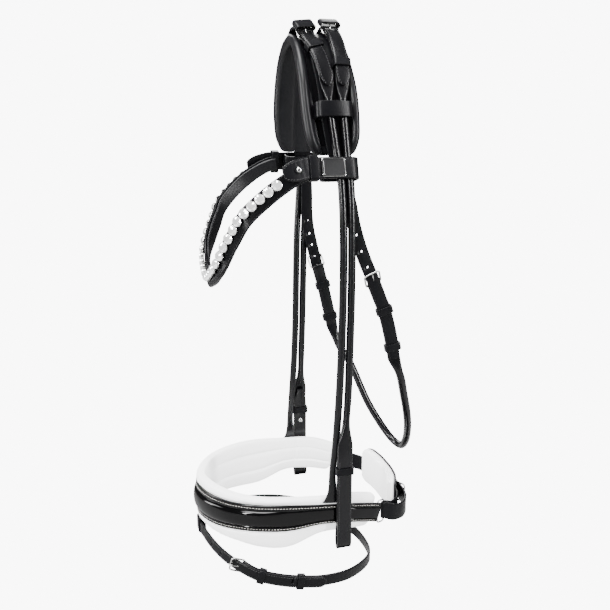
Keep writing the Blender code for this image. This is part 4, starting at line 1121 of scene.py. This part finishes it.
def strip_grid(rows, width, out):
    """Outer side: half thickness, less a groove near |v| = 0.6, plus a half-round roll; inner side: flat."""
    v = np.concatenate([-np.cos(np.linspace(0, math.pi, 61)), np.linspace(0.97, -0.97, 9)])[None]
    outer = np.arange(v.shape[1]) < 61
    full = np.interp(rows[:, 1], [-130, -80, -45, 40], [3.3, 2.6, 0.6, 0.5])[:, None]
    roll_up = np.sqrt(np.clip(1 - ((v + 0.04) / 0.56) ** 2, 0, 1)) ** 0.8 * full
    groove = 0.55 * np.exp(-((np.abs(v + 0.04) - 0.6) / 0.028) ** 2)
    turned_down = 0.7 * np.clip((np.abs(v) - 0.95) / 0.05, 0, 1) ** 2
    lift_out = np.where(outer, STRIP_T / 2 + roll_up - groove - turned_down, -STRIP_T / 2)
    ends = np.ones(len(rows))
    ends[[0, -1]] = 0.6
    high = v * rows[:, 3:4] / 2
    return rows[:, None, :3] + high[..., None] * width[:, None] + (lift_out * ends[:, None])[..., None] * out[:, None]


nose, nose_width, nose_out = nose_frame()
fit(skin("noseband_patent", strip_grid(nose, nose_width, nose_out), PATENT), "patent", "noseband", "noseband_strip")
for row, v in (("upper", 0.79), ("lower", -0.81)):
    line = nose[:, :3] + v * nose[:, 3:4] / 2 * nose_width + (STRIP_T / 2 + 0.05) * nose_out
    table = evenly(np.hstack([line, unit(np.gradient(line, axis=0)), nose_out]), 3.3)[2:-2]
    stitches = stitch_mesh(f"noseband_stitching_{row}", table[:, :3], unit(table[:, 3:6]), unit(table[:, 6:9]),
                           PALE_THREAD, long=1.15, thick=0.3)
    fit(stitches, "patent", "noseband")
print("noseband steps:", len(nose))

# %% Noseband pad


def pad_section(half, thick, count=72):
    """A superellipse round the pad: height half * |sin|^0.7 and offset thick/2 * |cos|^0.45, signs kept."""
    t = np.linspace(0, 2 * math.pi, count, endpoint=False)[None]
    up = half * np.sign(np.sin(t)) * np.abs(np.sin(t)) ** 0.7
    off = thick / 2 * np.sign(np.cos(t)) * np.abs(np.cos(t)) ** 0.45
    return up, off


def pad_grid(rows, width, out):
    """The pad's section at every step, swollen beyond the strip's edges and quilted on its inner side."""
    z_shift = rows[:, 4:5] - rows[:, 2:3]
    half = rows[:, 5:6] / 2
    close = np.clip(np.minimum(np.arange(len(rows)), np.arange(len(rows))[::-1]) / 4, 0, 1)[:, None]
    shrink = 0.55 + 0.45 * np.sqrt(1 - (1 - close) ** 2)
    up, off = pad_section(half * shrink, PAD_T * shrink)
    beyond = np.clip((np.abs(up + z_shift) - rows[:, 3:4] / 2 + 0.4) / 3.0, 0, 1)
    swell = np.interp(rows[:, 1], [-110, -60, -30, 10, 40], [3.4, 3.0, 0.9, 0.4, 1.0])[:, None]
    number = np.arange(len(rows))[:, None]
    gathers = 1 + 0.05 * np.sin(number * 1.9) + 0.03 * np.sin(number * 0.83)
    front = off > 0
    off = off + front * beyond * swell * gathers * np.clip(np.abs(off) / 2.5, 0, 1)
    quilt = 2.4 * sum(np.exp(-((up / half - place) / 0.045) ** 2) for place in (-0.36, 0.36))
    seam = 1.2 * np.exp(-((rows[:, 1:2] - 4) / 1.1) ** 2)
    for pressed in (quilt, seam):
        off = off + (~front) * pressed * np.clip(np.abs(off) / 3.5, 0, 1)
    middle = rows[:, :3] - (STRIP_T / 2 + GAP + PAD_T / 2) * out
    middle[:, 2] = rows[:, 4]
    return middle[:, None] + up[..., None] * width[:, None] + off[..., None] * out[:, None]


cut = slice(4, -4)
pad = skin("noseband_padding", pad_grid(nose[cut], nose_width[cut], nose_out[cut]), WHITE_PAINTED_GLOW)
fit(pad, "white_pad", "noseband", "noseband_pad")
print("pad points:", len(pad.data.vertices))

# %% [markdown]
# ## Rings, chin strap and chin pad
# A rectangular ring hangs in the eye at each end of the noseband. The chin strap is sewn to the far ring, runs round
# behind the chin, passes through the near ring and comes back to its own buckle. A tall white pad on a black backing
# lies inside it.

# %% Chin
RING_WIRE, RING_LONG = 0.9, 9.0
CHIN_H, CHIN_TURN, BUCKLE_Z = 20.0, 2.2, -513.5
CHIN = [(0, 102, -513), (20, 101.2, -513), (40, 97, -512), (56, 87.5, -510), (63.6, 77, -508)]
ring_bars = {}
for hand_name, hand in HANDS:
    p, q = np.array(STRIP[0][:3]), np.array(STRIP[1][:3])
    back = unit(unit(p - q) * (1, 1, 0)) * (hand, 1, 1)
    st = Station((p - unit(p - q) * 2.6) * (hand, 1, 1), back, (hand, 0, 0.001))
    s, w = oblong(RING_LONG, 27.2, 2.4).T
    ring = wire("ring_" + hand_name, st.at(s + RING_LONG / 2, 0 * s, w), RING_WIRE, closed=True, hint=st.n)
    fit(ring, "steel", "noseband", "noseband_ring_" + hand_name)
    ring_bars[hand] = st.at(RING_LONG, 0, 0)
x, y, z = ring_bars[1]
thin, full, turn = (CHIN_H, 2.0, 0.9), flat(CHIN_H), CHIN_TURN
rows = [(-x + 0.6, y - 2.0, z, CHIN_H, 3.6, 1.6), (-x + 1.0, y + 2.4, z, CHIN_H, 3.4, 1.4)]
rows += [(-p[0], p[1], p[2], *full) for p in reversed(CHIN[1:])] + [(*p, *full) for p in CHIN]
rows += [(x - turn, y + 3.0, z, *thin), (x - turn, y, z, *thin), (x - turn * 0.7, y - turn * 0.7, z, *thin),
         (x, y - turn, z, *thin), (x + turn * 0.7, y - turn * 0.7, z, *thin), (x + turn, y, z, *thin),
         (x + turn, y + 3.0, z, *thin)]
rows += [(68.4, 82, -509.5, *full), (61.5, 95, -511.5, *full), (46, 105, -513, *full), (30, 108.8, BUCKLE_Z, *full),
         (14, 109.2, BUCKLE_Z, *full), (0, 109.3, BUCKLE_Z, *full), (-14, 108.8, BUCKLE_Z, *full),
         (-19, 108.3, BUCKLE_Z, *flat(15.5)), (-22.5, 107.9, BUCKLE_Z, *flat(7))]
chin_laid = lay(rows, UP, step=1.5)
fit(strap("chin_leather", chin_laid, STRAP), "leather", "noseband", "chin_strap")
steps = chin_laid["rows"]
chin_out = part_of(chin_laid, (steps[:, 1] > 88) & (np.arange(len(steps)) > len(steps) * 0.55))
chin_face = int(np.sign((chin_out["face"] * (chin_out["rows"][:, :3] - (0, 40, -510))).sum()))
fit(seams("chin_stitching", chin_out, inset=1.8, face_side=chin_face), "leather", "noseband")
face = 109.2 - LEATHER / 2
tab = [(16.4, face - 2.3, 4.0), (11.8, face - 2.3, 4.0), (7, face - 1.8, LEATHER), (-8, face - 1.9, LEATHER),
       (-18, face - 3.0, LEATHER), (-30, face - 4.9, 2.2)]
tab = [(x, y, BUCKLE_Z, CHIN_H, t, 1.0) for x, y, t in tab]
fit(strap("chin_chape", lay(tab, UP), STRAP), "leather", "noseband", "chin_buckle_tab")
buckle("chin", Station((14, face, BUCKLE_Z), (1, 0, 0), (0, 1, 0)), CHIN_H, "noseband")
band("chin_band", Station((-5, face, BUCKLE_Z), (1, 0, 0), (0, 1, 0)), 0, -3.5, 3.0, CHIN_H + 0.8, "noseband",
     "chin_keeper", long=7, wall=0.9)


def beside(line, d):
    """A level band's line moved d away from the horse, for a line that runs front, near side, back, far side."""
    along = unit(np.gradient(line, axis=0))
    return line + d * unit(np.stack([along[:, 1], -along[:, 0], 0 * along[:, 0]], 1))


PAD_MIDDLE_Z = -504
chin_line = [(-x, y, PAD_MIDDLE_Z) for x, y, _ in reversed(CHIN[1:4])]
chin_line += [(x, y, PAD_MIDDLE_Z) for x, y, _ in CHIN[:4]]
chin_line = through(chin_line[::-1], 2.0)
ones = np.ones((len(chin_line), 1))
taper = np.minimum(np.arange(len(ones)), np.arange(len(ones))[::-1])[:, None] - 4.0
taper = np.sqrt(np.clip(1 - (1 - taper / 9) ** 2, 0.15, 1) * (taper < 9) + (taper >= 9))
backing = np.hstack([beside(chin_line, -2.6), 27 + 18 * taper, 2.0 * ones, 0.9 * ones])[5:-5]
fit(strap("chin_backing_leather", lay(backing, UP, curve=False), SOFT), "leather", "noseband", "chin_backing")
cushion = np.hstack([beside(chin_line, -8.3), 28 + 18.5 * taper, 5 + 4.5 * taper, 2.4 + 2.1 * taper])[5:-5]
chin_pad = strap("chin_padding", lay(cushion, UP, curve=False), WHITE_PAINTED_GLOW)
fit(chin_pad, "white_pad", "noseband", "chin_pad")
print("chin steps:", len(chin_laid["rows"]))

# %% [markdown]
# ## The flash strap
# The flash hangs from a small loop under the nose, runs down the near side to its buckle, and goes round behind the
# chin groove and up the far side. Past the buckle the two ends lie one over the other, so the strap is one long line
# moved inwards on its first turn and outwards on its last.

# %% Flash
FLASH_W = 13.0
FLASH_NEAR = [(0, -131, -527.5), (10, -130, -528.6), (22, -125.5, -534), (36, -117.5, -541), (50, -107.5, -546.5),
              (64, -95, -551), (75, -77, -558), (81, -55, -563.5), (83, -34, -568), (82.5, -6, -573)]
FLASH_ROUND = [(70, 28, -580), (45, 59, -586), (20, 72, -588), (-20, 71, -588), (-48, 52, -580), (-66, 25, -568),
               (-74, -12, -557), (-72, -50, -549), (-60, -85, -542), (-38, -116, -535), (-22, -125.5, -530.5),
               (-10, -130, -528)]


def nearest(line, point):
    """The number of the line's point that is nearest to the given one."""
    return int(np.argmin(np.linalg.norm(line[:, :3] - np.asarray(point, float), axis=1)))


def flash_station(step, place, reach):
    """A station on the near side of the flash, its s towards the nose and its n away from the horse."""
    toward = flash_line[step - reach] - flash_line[step + reach]
    away = np.cross(toward, UP)
    return Station(place, toward, away * np.sign(away[0]))


flash_line = through(FLASH_NEAR + FLASH_ROUND + FLASH_NEAR[:1], 2.0)
bar = nearest(flash_line, FLASH_NEAR[5])
flash_st = flash_station(bar, FLASH_NEAR[5], 3)
inner_line, outer_line = beside(flash_line, -1.6), beside(flash_line, 1.3)
tip = nearest(outer_line, FLASH_NEAR[-1])
rows = bar_fold(flash_st, FLASH_W)
rows += [(*p, *flat(FLASH_W)) for p in (*inner_line[bar + 5:-6:5], *outer_line[3:tip - 4:5])]
rows += [(*outer_line[tip - back], *flat(w)) for back, w in ((2, 12), (1, 9.5), (0, 5))]
flash_laid = lay(rows, UP)
flash_piece = strap("flash_leather", flash_laid, STRAP)
over = part_of(flash_laid, np.arange(len(flash_laid["rows"])) > len(flash_laid["rows"]) // 2)
marks = [outer_line[nearest(outer_line, p)] for p in ((30, -121.3, -538), (43, -112.7, -544), (83.6, -45, -566))]
punch(flash_piece, holes_at(over, marks), 1.3, deep=1.5)
fit(flash_piece, "leather", "flash", "flash_strap")
over_face = face_towards(over, -20, flash_st.n)
fit(seams("flash_stitching", over, inset=1.5, face_side=over_face, start=30), "leather", "flash")
buckle("flash", flash_st, FLASH_W, "flash")
for number, point, body in ((1, FLASH_NEAR[6], "flash"), (2, FLASH_NEAR[8], "flash_runner")):
    i = nearest(flash_line, point)
    band(f"flash_band_{number}", flash_station(i, flash_line[i], 2), 0, -3.3, 3.0, FLASH_W + 0.8, body,
         f"flash_keeper_{number}", wall=1.4)
band("flash_hanger", Station((0, -130.8, -527.5), (1, 0, 0), (0, -1, 0)), 0, -2.3, 2.3, FLASH_W + 1.2, "noseband",
     "flash_loop", long=13, wall=2.2)
print("flash steps:", len(flash_laid["rows"]))

# %% [markdown]
# ## The throatlatch
# One rolled strap runs round the throat. At each end it flattens into a chape that holds a buckle, and the billets
# made earlier come down through the two buckles and their keepers.

# %% Throatlatch
THROAT_KEEPERS = {1: ((61.2, -269.5), (71.6, -310)), -1: ((38, -270), (47.3, -310))}
THROAT_ROLL = [(68.6, 80.5, -338), (65.5, 85.5, -350), (58, 92, -368), (46, 102.5, -397), (31, 111.5, -424),
               (11, 118.8, -451), (-10, 121, -467), (-30, 112.5, -459), (-49, 93, -423), (-61, 73.5, -374),
               (-66, 60.5, -352), (-68.4, 54.5, -338)]
chapes = {}
for hand_name, hand in HANDS:
    pts = np.array(THROAT[hand], float)
    line = through(np.column_stack([hand * THROAT_X + 0 * pts[:, 0], pts]), 2.0)
    middle = np.array([hand * THROAT_X, *pts[5]])
    i = nearest(line, middle)
    st = Station(middle - (hand * LEATHER / 2, 0, 0), line[i - 2] - line[i + 2], (hand, 0, 0))
    inner = hand * (THROAT_X - LEATHER / 2 - 1.6)
    chapes[hand] = bar_fold(st, STRAP_W)
    chapes[hand] += [(inner, y, z, *flat()) for y, z in pts[6:]]
    buckle("throat_" + hand_name, st, STRAP_W, "throatlatch")
    for number, (y, z) in enumerate(THROAT_KEEPERS[hand], 1):
        k = nearest(line, (hand * THROAT_X, y, z))
        here = Station(line[k] - (hand * LEATHER / 2, 0, 0), line[k - 2] - line[k + 2], (hand, 0, 0))
        body = "throatlatch" if number == 1 else f"throat_{hand_name}_runner"
        band(f"throat_band_{hand_name}_{number}", here, 0, -3.3, 3.0, STRAP_W + 0.8, body,
             f"throat_keeper_{hand_name}_{number}", wall=1.4)
thick = [(*p, *roll(9)) for p in THROAT_ROLL]
throat_laid = lay(chapes[1] + thick + chapes[-1][::-1], FORE)
fit(strap("throat_strap", throat_laid, ROLLED), "leather", "throatlatch", "throat_roll")
print("throat steps:", len(throat_laid["rows"]))
